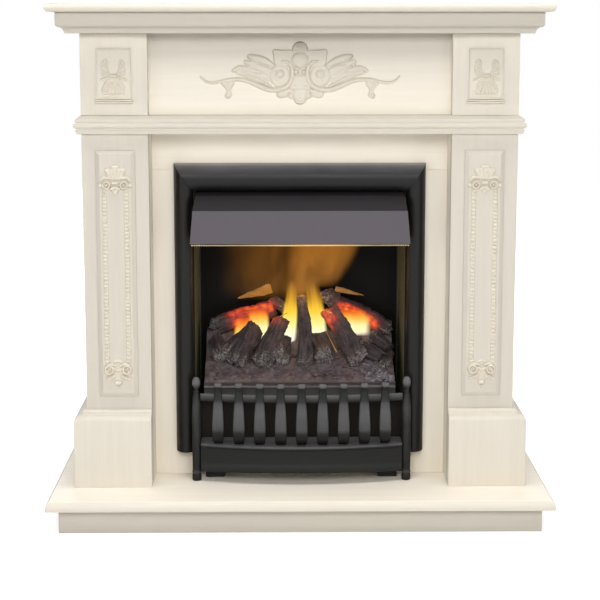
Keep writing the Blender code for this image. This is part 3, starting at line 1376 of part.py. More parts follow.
def build_wheel(xs, axle_y, axle_z):
    """A tangential wheel on a shaft, carried by the casing's left wall and the motor."""
    left, right = xs[0] + SHEET + WHEEL_END_GAP, xs[1] - SHEET - WHEEL_END_GAP
    motor_face = xs[1] + RUNNING_GAP
    shaft_end = motor_face + SHAFT_END
    shaft_start = xs[0] - SHAFT_START
    wheel = cylinder("blower_wheel", ((shaft_start + shaft_end) / 2, 0.0, 0.0), "X",
                     SHAFT_RADIUS, shaft_end - shaft_start, GALVANISED, sides=12)
    wheel.data.transform(Matrix.Translation(wheel.location))
    wheel.location = (0.0, 0.0, 0.0)
    discs = [cylinder("disc", (x, 0.0, 0.0), "X", WHEEL_RADIUS, WHEEL_DISC, sides=28)
             for x in (left, (left + right) / 2, right)]
    blades = []
    for i in range(WHEEL_BLADES):
        blade = box("blade", (left, right), (-WHEEL_BLADE_WIDTH / 2, WHEEL_BLADE_WIDTH / 2),
                    (-WHEEL_BLADE_THICK / 2, WHEEL_BLADE_THICK / 2))
        blade.data.transform(Matrix.Translation(Vector((blade.location.x, 0.0, 0.0))))
        blade.data.transform(Matrix.Rotation(math.radians(WHEEL_BLADE_PITCH), 4, "X"))
        blade.data.transform(Matrix.Translation(Vector((0.0, WHEEL_RADIUS - WHEEL_BLADE_INSET,
                                                        0.0))))
        blade.location = (0.0, 0.0, 0.0)
        blade.rotation_euler.x = 2 * math.pi * i / WHEEL_BLADES
        blades.append(blade)
    join(wheel, *discs, *blades)
    wheel.location = (0.0, axle_y, axle_z)
    motor = cylinder("blower_motor", (motor_face + MOTOR_LENGTH / 2, axle_y, axle_z), "X",
                     MOTOR_RADIUS, MOTOR_LENGTH, BLACK_STEEL, sides=24)
    bore = cylinder("bore", (motor_face, axle_y, axle_z), "X", SHAFT_RADIUS + RUNNING_GAP,
                    2 * (SHAFT_END + RUNNING_GAP), sides=16)
    cut(motor, bore)


# The controls behind the hood


def build_controls():
    right = CASE_INSIDE - GAP
    left = right - PANEL_BOX_WIDTH
    front = CASE_FRONT_Y - PANEL_REACH
    top = CASE_TOP - SHEET - PANEL_DROP
    zs = (top - PANEL_BOX_HEIGHT, top)
    panel = box("control_panel", (left, right), (front, front + PANEL_BOX_DEPTH), zs, BLACK_STEEL)
    room = box("room", (left + SHEET, right - SHEET),
               (front + SHEET, front + PANEL_BOX_DEPTH + CUT_OVER),
               (zs[0] + SHEET, zs[1] - SHEET))
    middle_z = (zs[0] + zs[1]) / 2
    rocker_x = (left + ROCKER_FIRST, left + ROCKER_FIRST + ROCKER_PITCH)
    holes = [box("hole", (x - ROCKER_WIDTH / 2 - RUNNING_GAP, x + ROCKER_WIDTH / 2 + RUNNING_GAP),
                 (front - CUT_OVER, front + CUT_OVER),
                 (middle_z - ROCKER_HEIGHT / 2 - RUNNING_GAP,
                  middle_z + ROCKER_HEIGHT / 2 + RUNNING_GAP)) for x in rocker_x]
    knob_x = left + KNOB_ACROSS
    knob_hole = cylinder("knob_hole", (knob_x, front, middle_z), "Y",
                         SPINDLE_RADIUS + RUNNING_GAP, 2 * CUT_OVER, sides=16)
    cut(panel, room, *holes, knob_hole)
    carrier_half = ROCKER_WIDTH / 2 + CARRIER_MARGIN
    carrier_y = (front + CARRIER_SETBACK, front + CARRIER_SETBACK + CARRIER_THICK)
    carriers = [box("carrier", (x - carrier_half, x + carrier_half), carrier_y,
                    (zs[0] + SHEET / 2, zs[1] - SHEET / 2)) for x in rocker_x]
    join(panel, *carriers)
    for name, x in zip(("power_rocker", "heat_rocker"), rocker_x):
        build_rocker(name, x, front, middle_z)
    build_knob(knob_x, front, middle_z)


def build_rocker(name, x, front, middle_z):
    """A rocker with a dished face, turning on an axis just behind the panel's face."""
    half = ROCKER_HEIGHT / 2
    edge = half - ROCKER_CHAMFER
    outline = [(-edge, ROCKER_BACK), (edge, ROCKER_BACK), (half - GAP, 0.0), (edge, -ROCKER_FACE),
               (0.0, ROCKER_DISH - ROCKER_FACE), (-edge, -ROCKER_FACE), (GAP - half, 0.0)]
    sections = [[(across, depth, up) for up, depth in outline]
                for across in (-ROCKER_WIDTH / 2, ROCKER_WIDTH / 2)]
    rocker = loft(name, sections, BLACK_PLASTIC)
    rocker.location = (x, front + ROCKER_AXIS_DEPTH, middle_z)


def build_knob(x, front, middle_z):
    """A round knob with a pointer rib, on a spindle through the panel."""
    tip = KNOB_LENGTH
    profile = [(0.0, tip), (KNOB_RADIUS - KNOB_ROUND, tip), (KNOB_RADIUS, tip - KNOB_ROUND),
               (KNOB_RADIUS, 0.0), (SPINDLE_RADIUS, 0.0), (SPINDLE_RADIUS, -SPINDLE_LENGTH),
               (0.0, -SPINDLE_LENGTH)]
    knob = turned("flame_knob", profile, BLACK_PLASTIC, 24)
    rib = box("rib", (-POINTER_WIDTH / 2, POINTER_WIDTH / 2), (0.0, KNOB_RADIUS - KNOB_ROUND),
              (tip - POINTER_HEIGHT, tip + POINTER_HEIGHT))
    join(knob, rib)
    knob.data.transform(Matrix.Rotation(math.pi / 2, 4, "X"))
    knob.location = (x, front - RUNNING_GAP, middle_z)


def build_gland():
    """A strain relief with its flange outside the case's back and its nut inside."""
    place = gland_place(CASE_BACK_Y)
    r = GLAND_RADIUS - GAP
    nut = GLAND_FLANGE_RADIUS - GLAND_FLANGE / 4
    inner_end = -SHEET - GLAND_NUT
    profile = [(GLAND_BORE, GLAND_LENGTH), (r * 0.80, GLAND_LENGTH - SHEET),
               (r, GAP + GLAND_FLANGE), (GLAND_FLANGE_RADIUS, GAP + GLAND_FLANGE),
               (GLAND_FLANGE_RADIUS, GAP), (r, GAP), (r, -SHEET - GAP), (nut, -SHEET - GAP),
               (nut, inner_end), (GLAND_BORE, inner_end)]
    gland = closed_turning("cable_gland", profile, BLACK_PLASTIC, 18)
    gland.data.transform(Matrix.Rotation(-math.pi / 2, 4, "X"))
    gland.location = place


def hold(name, point, pieces):
    """Parents pieces to an empty on their joint's axis."""
    carrier = bpy.data.objects.new(name, None)
    carrier.location = point
    PARTS.objects.link(carrier)
    bpy.context.view_layer.update()
    for piece in pieces:
        obj = bpy.data.objects[piece]
        obj.parent = carrier
        obj.matrix_parent_inverse = carrier.matrix_world.inverted()


def main():
    build_hearth()
    build_columns()
    build_column_ornaments()
    build_mouldings()
    build_frieze()
    build_facing()
    build_case()
    build_trim()
    build_hood()
    build_fret()
    build_fuel_bed()
    build_mist_unit()
    build_heater()
    build_controls()
    build_gland()
    hold("fret_carrier", (FRET_SHIFT, POST_Y, HEARTH_TOP),
         ("fret_casting", "fret_post_left", "fret_post_right"))
    hold("fuel_bed_carrier", (0.0, CASE_FRONT_Y, CASE_MOUTH), ("ember_bed", *LOGS))


main()
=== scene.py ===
"""Looks for an electric fireplace suite: a cream mantel with carved ornament, a black insert with a
hood and a cast fret, and logs on an ember bed in lit mist. Metres, +Z up, the front faces -Y."""
import math
import random

import bmesh
import bpy
import numpy as np
from mathutils import Matrix, Vector, noise


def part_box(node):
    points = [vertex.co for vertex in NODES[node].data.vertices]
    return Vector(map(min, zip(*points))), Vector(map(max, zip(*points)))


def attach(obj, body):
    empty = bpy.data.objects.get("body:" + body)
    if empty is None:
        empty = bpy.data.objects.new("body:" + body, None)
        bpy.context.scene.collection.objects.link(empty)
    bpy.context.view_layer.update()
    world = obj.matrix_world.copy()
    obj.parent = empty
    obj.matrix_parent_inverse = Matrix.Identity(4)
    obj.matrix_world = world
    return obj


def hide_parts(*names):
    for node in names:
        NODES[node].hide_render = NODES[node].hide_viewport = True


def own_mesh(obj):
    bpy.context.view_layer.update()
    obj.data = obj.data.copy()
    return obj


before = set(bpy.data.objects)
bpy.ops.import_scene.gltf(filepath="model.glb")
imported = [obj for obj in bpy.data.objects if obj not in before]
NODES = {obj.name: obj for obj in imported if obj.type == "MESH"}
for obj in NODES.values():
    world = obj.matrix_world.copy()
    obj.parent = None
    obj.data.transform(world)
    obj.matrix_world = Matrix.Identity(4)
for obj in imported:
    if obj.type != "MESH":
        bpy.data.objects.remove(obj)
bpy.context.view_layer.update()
MM = 0.001
SIDES = (("left", -1), ("right", 1))

# Materials


class Nodes:
    """Short names for building a node tree."""

    def __init__(self, tree):
        self.tree = tree

    def fill(self, socket, value):
        """Links an output, or sets a plain value. A colour leaves its alpha out."""
        if hasattr(value, "links"):
            self.tree.links.new(value, socket)
        elif socket.type == "RGBA":
            socket.default_value = tuple(value) + (1.0,)
        else:
            socket.default_value = value

    def out(self, kind, output, inputs=None, **settings):
        """One output of a new node, whose inputs are given by name or number."""
        made = self.tree.nodes.new("ShaderNode" + kind)
        for key, value in settings.items():
            setattr(made, key, value)
        for socket, value in (inputs or {}).items():
            self.fill(made.inputs[socket], value)
        return made.outputs[output]

    def sum(self, operation, first, second):
        return self.out("Math", 0, {0: first, 1: second}, operation=operation)

    def times(self, first, second):
        return self.sum("MULTIPLY", first, second)

    def seen(self):
        """One for the camera's own rays and for those that a shine or glass sends on, else nothing."""
        path = self.tree.nodes.new("ShaderNodeLightPath").outputs
        sent_on = self.sum("MAXIMUM", path["Is Glossy Ray"], path["Is Transmission Ray"])
        return self.sum("MAXIMUM", path["Is Camera Ray"], sent_on)


class Look(Nodes):
    """A Principled material and the patterns that detail it."""

    def __init__(self, name, colour, roughness, metallic=0.0, **values):
        self.material = bpy.data.materials.new(name)
        self.material.use_nodes = True
        super().__init__(self.material.node_tree)
        self.shader = self.tree.nodes["Principled BSDF"]
        self.place = self.out("TexCoord", "Object")
        self.normal = None
        self.set(Base_Color=colour, Roughness=roughness, Metallic=metallic, **values)

    def set(self, **values):
        """Fills the shader's inputs. An underscore stands for a space."""
        for socket, value in values.items():
            self.fill(self.shader.inputs[socket.replace("_", " ")], value)

    def pattern(self, kind, output, scale, inputs, **settings):
        """A texture with a frequency per metre, one for all three axes or one for each."""
        scale = np.resize(scale, 3).tolist()
        spread = self.out("Mapping", "Vector", {"Vector": self.place, "Scale": scale})
        return self.out(kind, output, {"Vector": spread, "Scale": 1.0, **inputs}, **settings)

    def noise(self, scale, detail=3.0, rough=0.55, distortion=0.0):
        return self.pattern("TexNoise", "Fac", scale,
                            {"Detail": detail, "Roughness": rough, "Distortion": distortion})

    def cells(self, scale, randomness=1.0, feature="F1"):
        return self.pattern("TexVoronoi", "Distance", scale, {"Randomness": randomness},
                            feature=feature)

    def attribute(self, name):
        return self.out("Attribute", "Fac", attribute_name=name)

    def reach(self, value, low, high, to_low=0.0, to_high=1.0):
        """Maps a value's range, held at both ends."""
        return self.out("MapRange", "Result", dict(enumerate((value, low, high, to_low, to_high))))

    def mix(self, factor, first, second, how="MIX"):
        return self.out("Mix", 2, {"Factor": factor, 6: first, 7: second}, data_type="RGBA",
                        blend_type=how)

    def blend(self, pattern, low, high, first, second):
        """From one colour to the other, as a pattern runs from low to high."""
        return self.mix(self.reach(pattern, low, high), first, second)

    def axis(self, name):
        return self.out("SeparateXYZ", name, {0: self.place})

    def by_height(self, tone, steps):
        """Multiplies a tone by factors given with their heights in metres, if there are any."""
        if not steps:
            return tone
        low, high = steps[0][0], steps[-1][0]
        stops = [((z - low) / (high - low), (factor,) * 3) for z, factor in steps]
        factors = self.ramp(self.reach(self.axis("Z"), low, high), stops)
        return self.mix(1.0, tone, factors, "MULTIPLY")

    def ramp(self, factor, stops):
        made = self.tree.nodes.new("ShaderNodeValToRGB")
        self.fill(made.inputs["Fac"], factor)
        elements = made.color_ramp.elements
        while len(elements) < len(stops):
            elements.new(0.5)
        for element, (place, colour) in zip(elements, stops):
            element.position = place
            element.color = tuple(colour) + (1.0,)
        return made.outputs["Color"]

    def sheen(self, pattern, low, high):
        self.set(Roughness=self.reach(pattern, 0.3, 0.7, low, high))

    def bump(self, height, depth, strength):
        """Adds relief of a depth in metres, on top of what is there."""
        inputs = {"Strength": strength, "Distance": depth, "Height": height}
        if self.normal is not None:
            inputs["Normal"] = self.normal
        self.normal = self.out("Bump", "Normal", inputs)
        self.set(Normal=self.normal)


def shade(colour, factor):
    return tuple(channel * factor for channel in colour)


CREAM = (0.765, 0.712, 0.618)
WARM_CREAM = (0.775, 0.705, 0.59)


def painted_wood(name, grain, painted_light_tint, heights=None):
    """Cream lacquer over open-grained veneer. A tint sets a piece off from its neighbours as painted light
    and shade, and heights multiply it by factors up the piece, for a painted shadow or a painted lit top."""
    cream = shade(CREAM, painted_light_tint)
    look = Look(name + "_lacquer", cream, 0.55, Specular_IOR_Level=0.22)
    bands = look.noise(grain[0], 4.0, 0.6, 0.35)
    pores = look.noise(grain[1], 2.0, 0.5)
    clouds = look.noise(3.1, 2.0)
    tone = look.blend(bands, 0.3, 0.7, shade(cream, 0.965), shade(cream, 1.025))
    tone = look.mix(look.reach(pores, 0.58, 0.75, 0.0, 0.22), tone, shade(cream, 0.88))
    tone = look.mix(look.reach(clouds, 0.35, 0.7, 0.0, 0.2), tone, shade(WARM_CREAM, painted_light_tint))
    look.set(Base_Color=look.by_height(tone, heights),
             Roughness=look.reach(pores, 0.3, 0.8, 0.5, 0.64))
    look.bump(bands, 0.00015, 0.25)
    look.bump(pores, 0.0002, 0.4)
    return look.material


def carved_wood(name, painted_shade_ramp, heights=None):
    """The same lacquer on moulded carving, with painted shade in the hollows and a painted highlight on the
    crests.
    """
    look = Look(name + "_lacquer", CREAM, 0.5, Specular_IOR_Level=0.3)
    mottle = look.noise(260.0)
    depth = look.sum("ADD", look.attribute("relief"), look.reach(mottle, 0.3, 0.7, -0.05, 0.05))
    look.set(Base_Color=look.by_height(look.ramp(depth, painted_shade_ramp), heights))
    look.sheen(mottle, 0.44, 0.6)
    look.bump(mottle, 0.0003, 0.35)
    return look.material


def painted_steel(name, colour, roughness, shine, heights=None, inner=None, grain=420.0,
                  depth=0.00015, wear=0.25):
    """Stove paint: a fine orange-peel skin, with soft patches of sheen. Inner is a painted reflection for
    the side walls' inner faces, a tone that stands in for the light on them, then how far from the middle it
    starts, is full, still is and ends."""
    look = Look(name, colour, roughness, Specular_IOR_Level=shine)
    peel = look.noise(grain)
    patch = look.noise(9.0)
    tone = look.blend(patch, 0.3, 0.7, shade(colour, 1.0 - wear / 2), shade(colour, 1.0 + wear))
    tone = look.by_height(tone, heights)
    if inner:
        inside, start, full, still, end = inner
        away = look.sum("ABSOLUTE", look.axis("X"), 0.0)
        share = look.times(look.reach(away, start, full), look.reach(away, still, end, 1.0, 0.0))
        tone = look.mix(share, tone, inside)
    look.set(Base_Color=tone)
    look.sheen(patch, roughness - 0.05, roughness + 0.07)
    look.bump(peel, depth, 0.5)
    return look.material


def cast_iron():
    """Black cast iron with a sandy skin, turned grey where its attribute says so: painted light on lit
    faces, painted highlights on knuckles, rail and buds, and painted shade in curls, necks and undersides.
    """
    look = Look("cast_iron", (0.03, 0.03, 0.031), 0.52, Specular_IOR_Level=0.22)
    sand = look.noise(900.0, 3.0, 0.65)
    cloud = look.noise(26.0, 4.0, 0.6)
    lit_and_mottled = look.sum("ADD", look.attribute("wear"), look.reach(cloud, 0.3, 0.7, -0.07, 0.07))
    tone = look.ramp(lit_and_mottled, ((0.0, (0.004, 0.004, 0.004)), (0.3, (0.012, 0.012, 0.012)),
                            (0.6, (0.052, 0.051, 0.052)), (1.0, (0.112, 0.111, 0.112))))
    grains = look.reach(sand, 0.62, 0.8, 0.0, 0.35)
    look.set(Base_Color=look.mix(grains, tone, (0.06, 0.059, 0.058)))
    look.sheen(cloud, 0.44, 0.6)
    look.bump(sand, 0.0004, 0.45)
    look.bump(cloud, 0.0012, 0.2)
    return look.material


def glowing(look, tone):
    """Lays a red to yellow glow over a dark look, where its attribute says so."""
    flicker = look.reach(look.noise(85.0, 3.0, 0.6), 0.34, 0.62, 0.7, 1.08)
    lit = look.ramp(look.times(look.attribute("glow"), flicker), (
        (0.0, (0.0, 0.0, 0.0)), (0.25, (0.14, 0.008, 0.003)), (0.5, (0.58, 0.04, 0.008)),
        (0.72, (0.9, 0.13, 0.012)), (0.88, (1.0, 0.32, 0.03)), (1.0, (1.0, 0.62, 0.16))))
    look.set(Base_Color=tone, Emission_Color=lit, Emission_Strength=1.0)


def charred_wood():
    """Split logs of moulded resin: char with long checks, ash on ridges and pale cut ends, the lower ends
    paler also with painted light.
    """
    look = Look("charred_wood", (0.045, 0.033, 0.031), 0.82)
    grit = look.noise(330.0, 4.0, 0.7)
    cloud = look.noise(48.0, 4.0, 0.6)
    tone = look.blend(cloud, 0.3, 0.7, (0.016, 0.011, 0.011), (0.066, 0.046, 0.045))
    pale = look.times(look.attribute("ash"), look.reach(grit, 0.4, 0.6, 0.1, 1.2))
    tone = look.blend(pale, 0.35, 0.9, tone, (0.27, 0.245, 0.225))
    checks = look.reach(look.attribute("along"), 0.0, 0.35, 0.85, 0.0)
    glowing(look, look.mix(checks, tone, (0.008, 0.005, 0.005)))
    look.sheen(grit, 0.62, 0.95)
    look.bump(cloud, 0.003, 0.45)
    look.bump(grit, 0.001, 0.65)
    return look.material


def ember_look(name, low, high, share, crests):
    """Moulded coal or ash: lumps in two tones, with paler crests."""
    look = Look(name, (0.08, 0.055, 0.055), 0.78)
    grit = look.noise(420.0, 4.0, 0.7)
    cloud = look.noise(36.0, 4.0, 0.6)
    tone = look.blend(cloud, 0.32, 0.68, low, high)
    pale = look.times(look.attribute("ash"), look.reach(grit, 0.36, 0.64, 0.25, 1.15))
    glowing(look, look.mix(look.reach(pale, 0.35, 0.95, 0.0, share), tone, crests))
    look.sheen(grit, 0.55, 0.92)
    look.bump(cloud, 0.002, 0.35)
    look.bump(grit, 0.0009, 0.6)
    return look.material


def brass():
    """Polished brass, with a painted glow where its attribute says so, for the fire's light from below."""
    look = Look("brass_edge_look", (0.16, 0.12, 0.06), 0.3, 1.0)
    streak = look.noise((40.0, 400.0, 400.0))
    lit = look.ramp(look.attribute("glow"), (
        (0.0, (0.016, 0.012, 0.006)), (0.35, (0.26, 0.18, 0.08)), (1.0, (0.92, 0.66, 0.3))))
    tone = look.blend(streak, 0.3, 0.7, (0.09, 0.068, 0.036), (0.17, 0.135, 0.076))
    look.set(Base_Color=tone, Emission_Color=lit, Emission_Strength=1.0)
    look.sheen(streak, 0.24, 0.38)
    look.bump(streak, 0.0002, 0.3)
    return look.material


def rolled_steel():
    """Galvanised sheet with its spangle."""
    look = Look("galvanised_look", (0.45, 0.46, 0.47), 0.38, 0.9)
    scratch = look.noise((30.0, 500.0, 500.0))
    look.set(Base_Color=look.blend(look.cells(70.0), 0.2, 0.8, (0.36, 0.37, 0.39), (0.56, 0.57, 0.58)))
    look.sheen(scratch, 0.28, 0.5)
    look.bump(scratch, 0.0002, 0.3)
    return look.material


def moulded_plastic(name, colour, roughness, **values):
    look = Look(name, colour, roughness, **values)
    texture = look.noise(700.0, 2.0)
    look.set(Base_Color=look.blend(look.noise(22.0), 0.3, 0.7, shade(colour, 0.9), shade(colour, 1.12)))
    look.sheen(texture, roughness - 0.06, roughness + 0.08)
    look.bump(texture, 0.0001, 0.4)
    return look.material


def circuit_laminate():
    """Green solder resist with a net of paler tracks."""
    look = Look("board_laminate_look", (0.02, 0.12, 0.05), 0.42, Coat_Weight=0.4)
    tracks = look.cells((260.0, 260.0, 20.0), 0.35, "DISTANCE_TO_EDGE")
    look.set(Base_Color=look.blend(tracks, 0.05, 0.1, (0.06, 0.23, 0.09), (0.014, 0.095, 0.04)))
    look.sheen(look.noise(900.0, 2.0), 0.36, 0.52)
    look.bump(tracks, 0.0002, 0.3)
    return look.material


def fired_ceramic():
    look = Look("element_ceramic_look", (0.65, 0.63, 0.58), 0.6)
    look.set(Base_Color=look.blend(look.noise(40.0), 0.35, 0.7, (0.68, 0.66, 0.61), (0.52, 0.47, 0.39)))
    look.bump(look.noise(800.0), 0.0002, 0.5)
    return look.material


def lit_wood():
    """A dry splinter that the fire's light comes through."""
    look = Look("lit_splinter_look", (0.42, 0.24, 0.09), 0.7)
    fibre = look.noise((50.0, 260.0, 700.0), 3.0, 0.6)
    look.set(Base_Color=look.blend(fibre, 0.3, 0.7, (0.15, 0.075, 0.018), (0.3, 0.16, 0.042)),
             Emission_Color=look.blend(fibre, 0.3, 0.7, (0.1, 0.041, 0.005), (0.22, 0.095, 0.013)),
             Emission_Strength=look.attribute("glow"))
    look.sheen(look.noise(300.0), 0.55, 0.85)
    look.bump(fibre, 0.0006, 0.5)
    return look.material


def flame_look(name, strength, density, holes, fade, stops, start=0.03, soft=1.5,
               streaks=(52.0, 52.0, 7.0)):
    """Lit mist: glow that thins out to nothing at its edges, from the sheet's own attributes."""
    look = Look(name, (0.0, 0.0, 0.0), 1.0)
    up, across = look.attribute("up"), look.attribute("across")
    side = look.sum("POWER", look.sum("SUBTRACT", 1.0, look.times(across, across)), soft)
    side = look.times(side, look.attribute("thick"))
    height = look.times(look.reach(up, fade, 1.0, 1.0, 0.0), look.reach(up, 0.0, start))
    waver = look.reach(look.noise(streaks, 2.0, 0.5, 0.4), 0.35, 0.6, 1.0 - holes, 1.0)
    body = look.sum("MINIMUM", look.times(look.times(side, waver), density), 1.0)
    glow = look.out("Emission", 0, {"Color": look.ramp(up, stops), "Strength": strength})
    clear = look.out("BsdfTransparent", 0)
    mixed = look.out("MixShader", 0, {0: look.times(body, height), 1: clear, 2: glow})
    look.fill(look.tree.nodes["Material Output"].inputs["Surface"], mixed)
    look.tree.nodes.remove(look.shader)
    return look.material


HEARTH_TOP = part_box("hearth_slab")[1].z
# Tones of the carving by how far a place stands over its surroundings: painted shade in the hollows and a
# painted highlight on the crests. The deep set paints darker shade, on the rosettes and column carvings.
SOFT_PAINTED_SHADE = ((0.08, (0.6, 0.53, 0.415)), (0.32, (0.69, 0.625, 0.515)), (0.54, (0.74, 0.685, 0.585)),
              (0.86, (0.85, 0.81, 0.735)))
DEEP_PAINTED_SHADE = ((0.08, (0.33, 0.275, 0.17)), (0.3, (0.5, 0.44, 0.325)), (0.56, (0.72, 0.665, 0.56)),
              (0.86, (0.85, 0.81, 0.735)))
# The frieze carving darkens towards its top, and the rosettes a little: a painted shadow of the shelf.
CARVED = carved_wood("carved", SOFT_PAINTED_SHADE, (
    (0.84, 1.0), (0.88, 0.92), (0.902, 0.82), (0.922, 0.64), (0.936, 0.44), (0.945, 0.34)))
ROSETTE_LOOK = carved_wood("rosette", DEEP_PAINTED_SHADE, ((0.82, 1.0), (0.87, 0.97), (0.926, 0.84)))
COLUMN_CARVED = carved_wood("column_carving", DEEP_PAINTED_SHADE)
IRON = cast_iron()
CHAR = charred_wood()
BRASS = brass()
CHIP = lit_wood()
EMBER = ember_look("ember_bed_look", (0.072, 0.05, 0.053), (0.176, 0.134, 0.137), 0.35,
                   (0.33, 0.3, 0.315))
ASH = ember_look("ash_lump_look", (0.09, 0.078, 0.088), (0.3, 0.276, 0.305), 1.0, (0.6, 0.57, 0.64))
PAN_LOOK = painted_steel("pan_steel_look", (0.022, 0.019, 0.019), 0.38, 0.5)
FLAME = flame_look("flame_light", 1.08, 3.0, 0.22, 0.5, (
    (0.0, (1.0, 1.0, 0.84)), (0.16, (1.0, 0.97, 0.64)), (0.32, (1.0, 0.84, 0.24)),
    (0.5, (1.0, 0.62, 0.05)), (0.7, (0.72, 0.36, 0.03)), (1.0, (0.36, 0.15, 0.03))))
LOW_FLAME = flame_look("low_flame_light", 1.08, 2.6, 0.34, 0.74, (
    (0.0, (1.0, 0.96, 0.66)), (0.42, (1.0, 0.88, 0.4)), (0.64, (1.0, 0.58, 0.09)),
    (0.84, (0.92, 0.24, 0.03)), (1.0, (0.7, 0.08, 0.01))), 0.2)
MIST = flame_look("mist_light", 0.42, 0.7, 0.55, 0.96, (
    (0.0, (1.0, 0.42, 0.08)), (0.3, (0.9, 0.36, 0.065)), (1.0, (0.86, 0.32, 0.04))), 0.16, 2.0,
    (22.0, 22.0, 12.0))


# Carried nodes


def dress(nodes, look, width):
    """Gives carried nodes their finish and eased edges."""
    for node in nodes:
        piece = NODES[node]
        piece.data.materials.clear()
        piece.data.materials.append(look)
        for face in piece.data.polygons:
            face.use_smooth = True
        piece.modifiers.new("Weld", "WELD").merge_threshold = 0.00002
        ease = piece.modifiers.new("Ease", "BEVEL")
        ease.width = width
        ease.segments = 2
        ease.limit_method = "ANGLE"
        ease.angle_limit = math.radians(24)
        ease.use_clamp_overlap = True
        piece.modifiers.new("Even", "WEIGHTED_NORMAL").weight = 80


def both(*stems):
    return [stem + "_" + word for stem in stems for word, _ in SIDES]


ACROSS = (2.5, 70.0, 70.0), (14.0, 620.0, 620.0)  # frequencies of the grain's bands and pores
UPRIGHT = (70.0, 70.0, 2.5), (620.0, 620.0, 14.0)
# The tints are painted light and shade: the cornice and base are darkened for the shade under the shelf and
# the hearth slab, the pilasters are toned down, and the frieze, facing, hearth and stiles are lifted against
# the shade of the overhangs and pilasters.
for name, grain, painted_light_tint, nodes, heights in (
        ("shelf", ACROSS, 0.92, ["mantel_shelf"], None),
        ("cornice", ACROSS, 0.72, ["cornice_moulding"], None),
        ("astragal", ACROSS, 0.9, ["astragal_moulding"], None),
        # The frieze darkens towards its top: a painted shadow of the shelf and cornice.
        ("frieze", ACROSS, 1.22, ["frieze_board"], (
            (0.798, 1.0), (0.817, 0.99), (0.875, 0.85), (0.898, 0.74), (0.915, 0.64), (0.93, 0.6),
            (0.942, 0.6), (0.954, 0.62))),
        ("facing", ACROSS, 1.14, ["header_panel", "facing_sill"], None),
        # The hearth is painted lighter on its top than on its front and edge: painted top light.
        ("hearth", ACROSS, 1.22, ["hearth_slab"], (
            (0.04, 0.76), (HEARTH_TOP - 0.0015, 0.8), (HEARTH_TOP - 0.0004, 1.0))),
        ("base", ACROSS, 0.74, ["base_frame"], None),
        ("upright", UPRIGHT, 0.94, both("plinth_block", "side_panel", "frieze_block"), None),
        ("column", UPRIGHT, 0.84, both("pilaster", "pilaster_panel"), None),
        ("stile", UPRIGHT, 1.13, both("inner_return", "facing_stile"), None)):
    dress(nodes, painted_wood(name, grain, painted_light_tint, heights), 0.001)
for nodes, look, width in (
        # The top rail runs from near black at its foot to pale grey at its crown: a painted highlight from
        # the light above.
        (["trim_top"], painted_steel("trim_black", (0.26, 0.25, 0.262), 0.4, 0.22, (
            (0.647, 0.02), (0.668, 0.026), (0.676, 0.034), (0.682, 0.07), (0.69, 0.3),
            (0.6965, 0.55), (0.7, 1.0))), 0.0012),
        (both("trim"), painted_steel("trim_side_black", (0.0056, 0.0054, 0.0048), 0.42, 0.2), 0.0012),
        # The hood's upper facet is painted a quarter as bright as its front: painted shade under the trim.
        (["hood"], painted_steel("hood_pewter", (0.095, 0.084, 0.095), 0.5, 0.16, (
            (0.5498, 1.0), (0.6126, 1.0), (0.6138, 0.25), (0.682, 0.25)), None, 500.0, 0.0001, 0.06),
         0.0004),
        # The case is painted darker above its ledges: painted shade inside the firebox.
        (["insert_case", "control_panel", "blower_motor"], painted_steel(
            "case_black", (0.012, 0.01, 0.008), 0.55, 0.1,
            ((0.068, 1.5), (0.216, 1.5), (0.226, 0.24), (0.684, 0.2)),
            # A pale olive tone on the inner side walls: a painted reflection of the lamps and the fire.
            ((0.095, 0.095, 0.058), 0.206, 0.2092, 0.2097, 0.2101)), 0.0005),
        (["heater_box", "mist_transducer", "blower_wheel"], rolled_steel(), 0.0002),
        (["heating_element"], fired_ceramic(), 0.0004),
        (["mist_sump", "mist_duct", "tank_cap", "mist_fan", "power_rocker", "heat_rocker",
          "flame_knob", "cable_gland"],
         moulded_plastic("black_plastic_look", (0.018, 0.018, 0.019), 0.48), 0.0004),
        (["water_tank"], moulded_plastic("tank_plastic_look", (0.3, 0.38, 0.42), 0.25,
                                         Transmission_Weight=0.35, IOR=1.45), 0.0005),
        (["circuit_board"], circuit_laminate(), 0.0002),
        (["lamp_strip"], moulded_plastic("lamp_lens_look", (0.85, 0.66, 0.36), 0.2), 0.0003)):
    dress(nodes, look, width)


# Mesh helpers


def add_object(name, data):
    made = bpy.data.objects.new(name, data)
    bpy.context.scene.collection.objects.link(made)
    return made


def grid_faces(columns, rows):
    """The faces of a sheet whose points run row by row."""
    wide = columns + 1
    return [(a, a + 1, a + wide + 1, a + wide)
            for j in range(rows) for a in range(j * wide, j * wide + columns)]


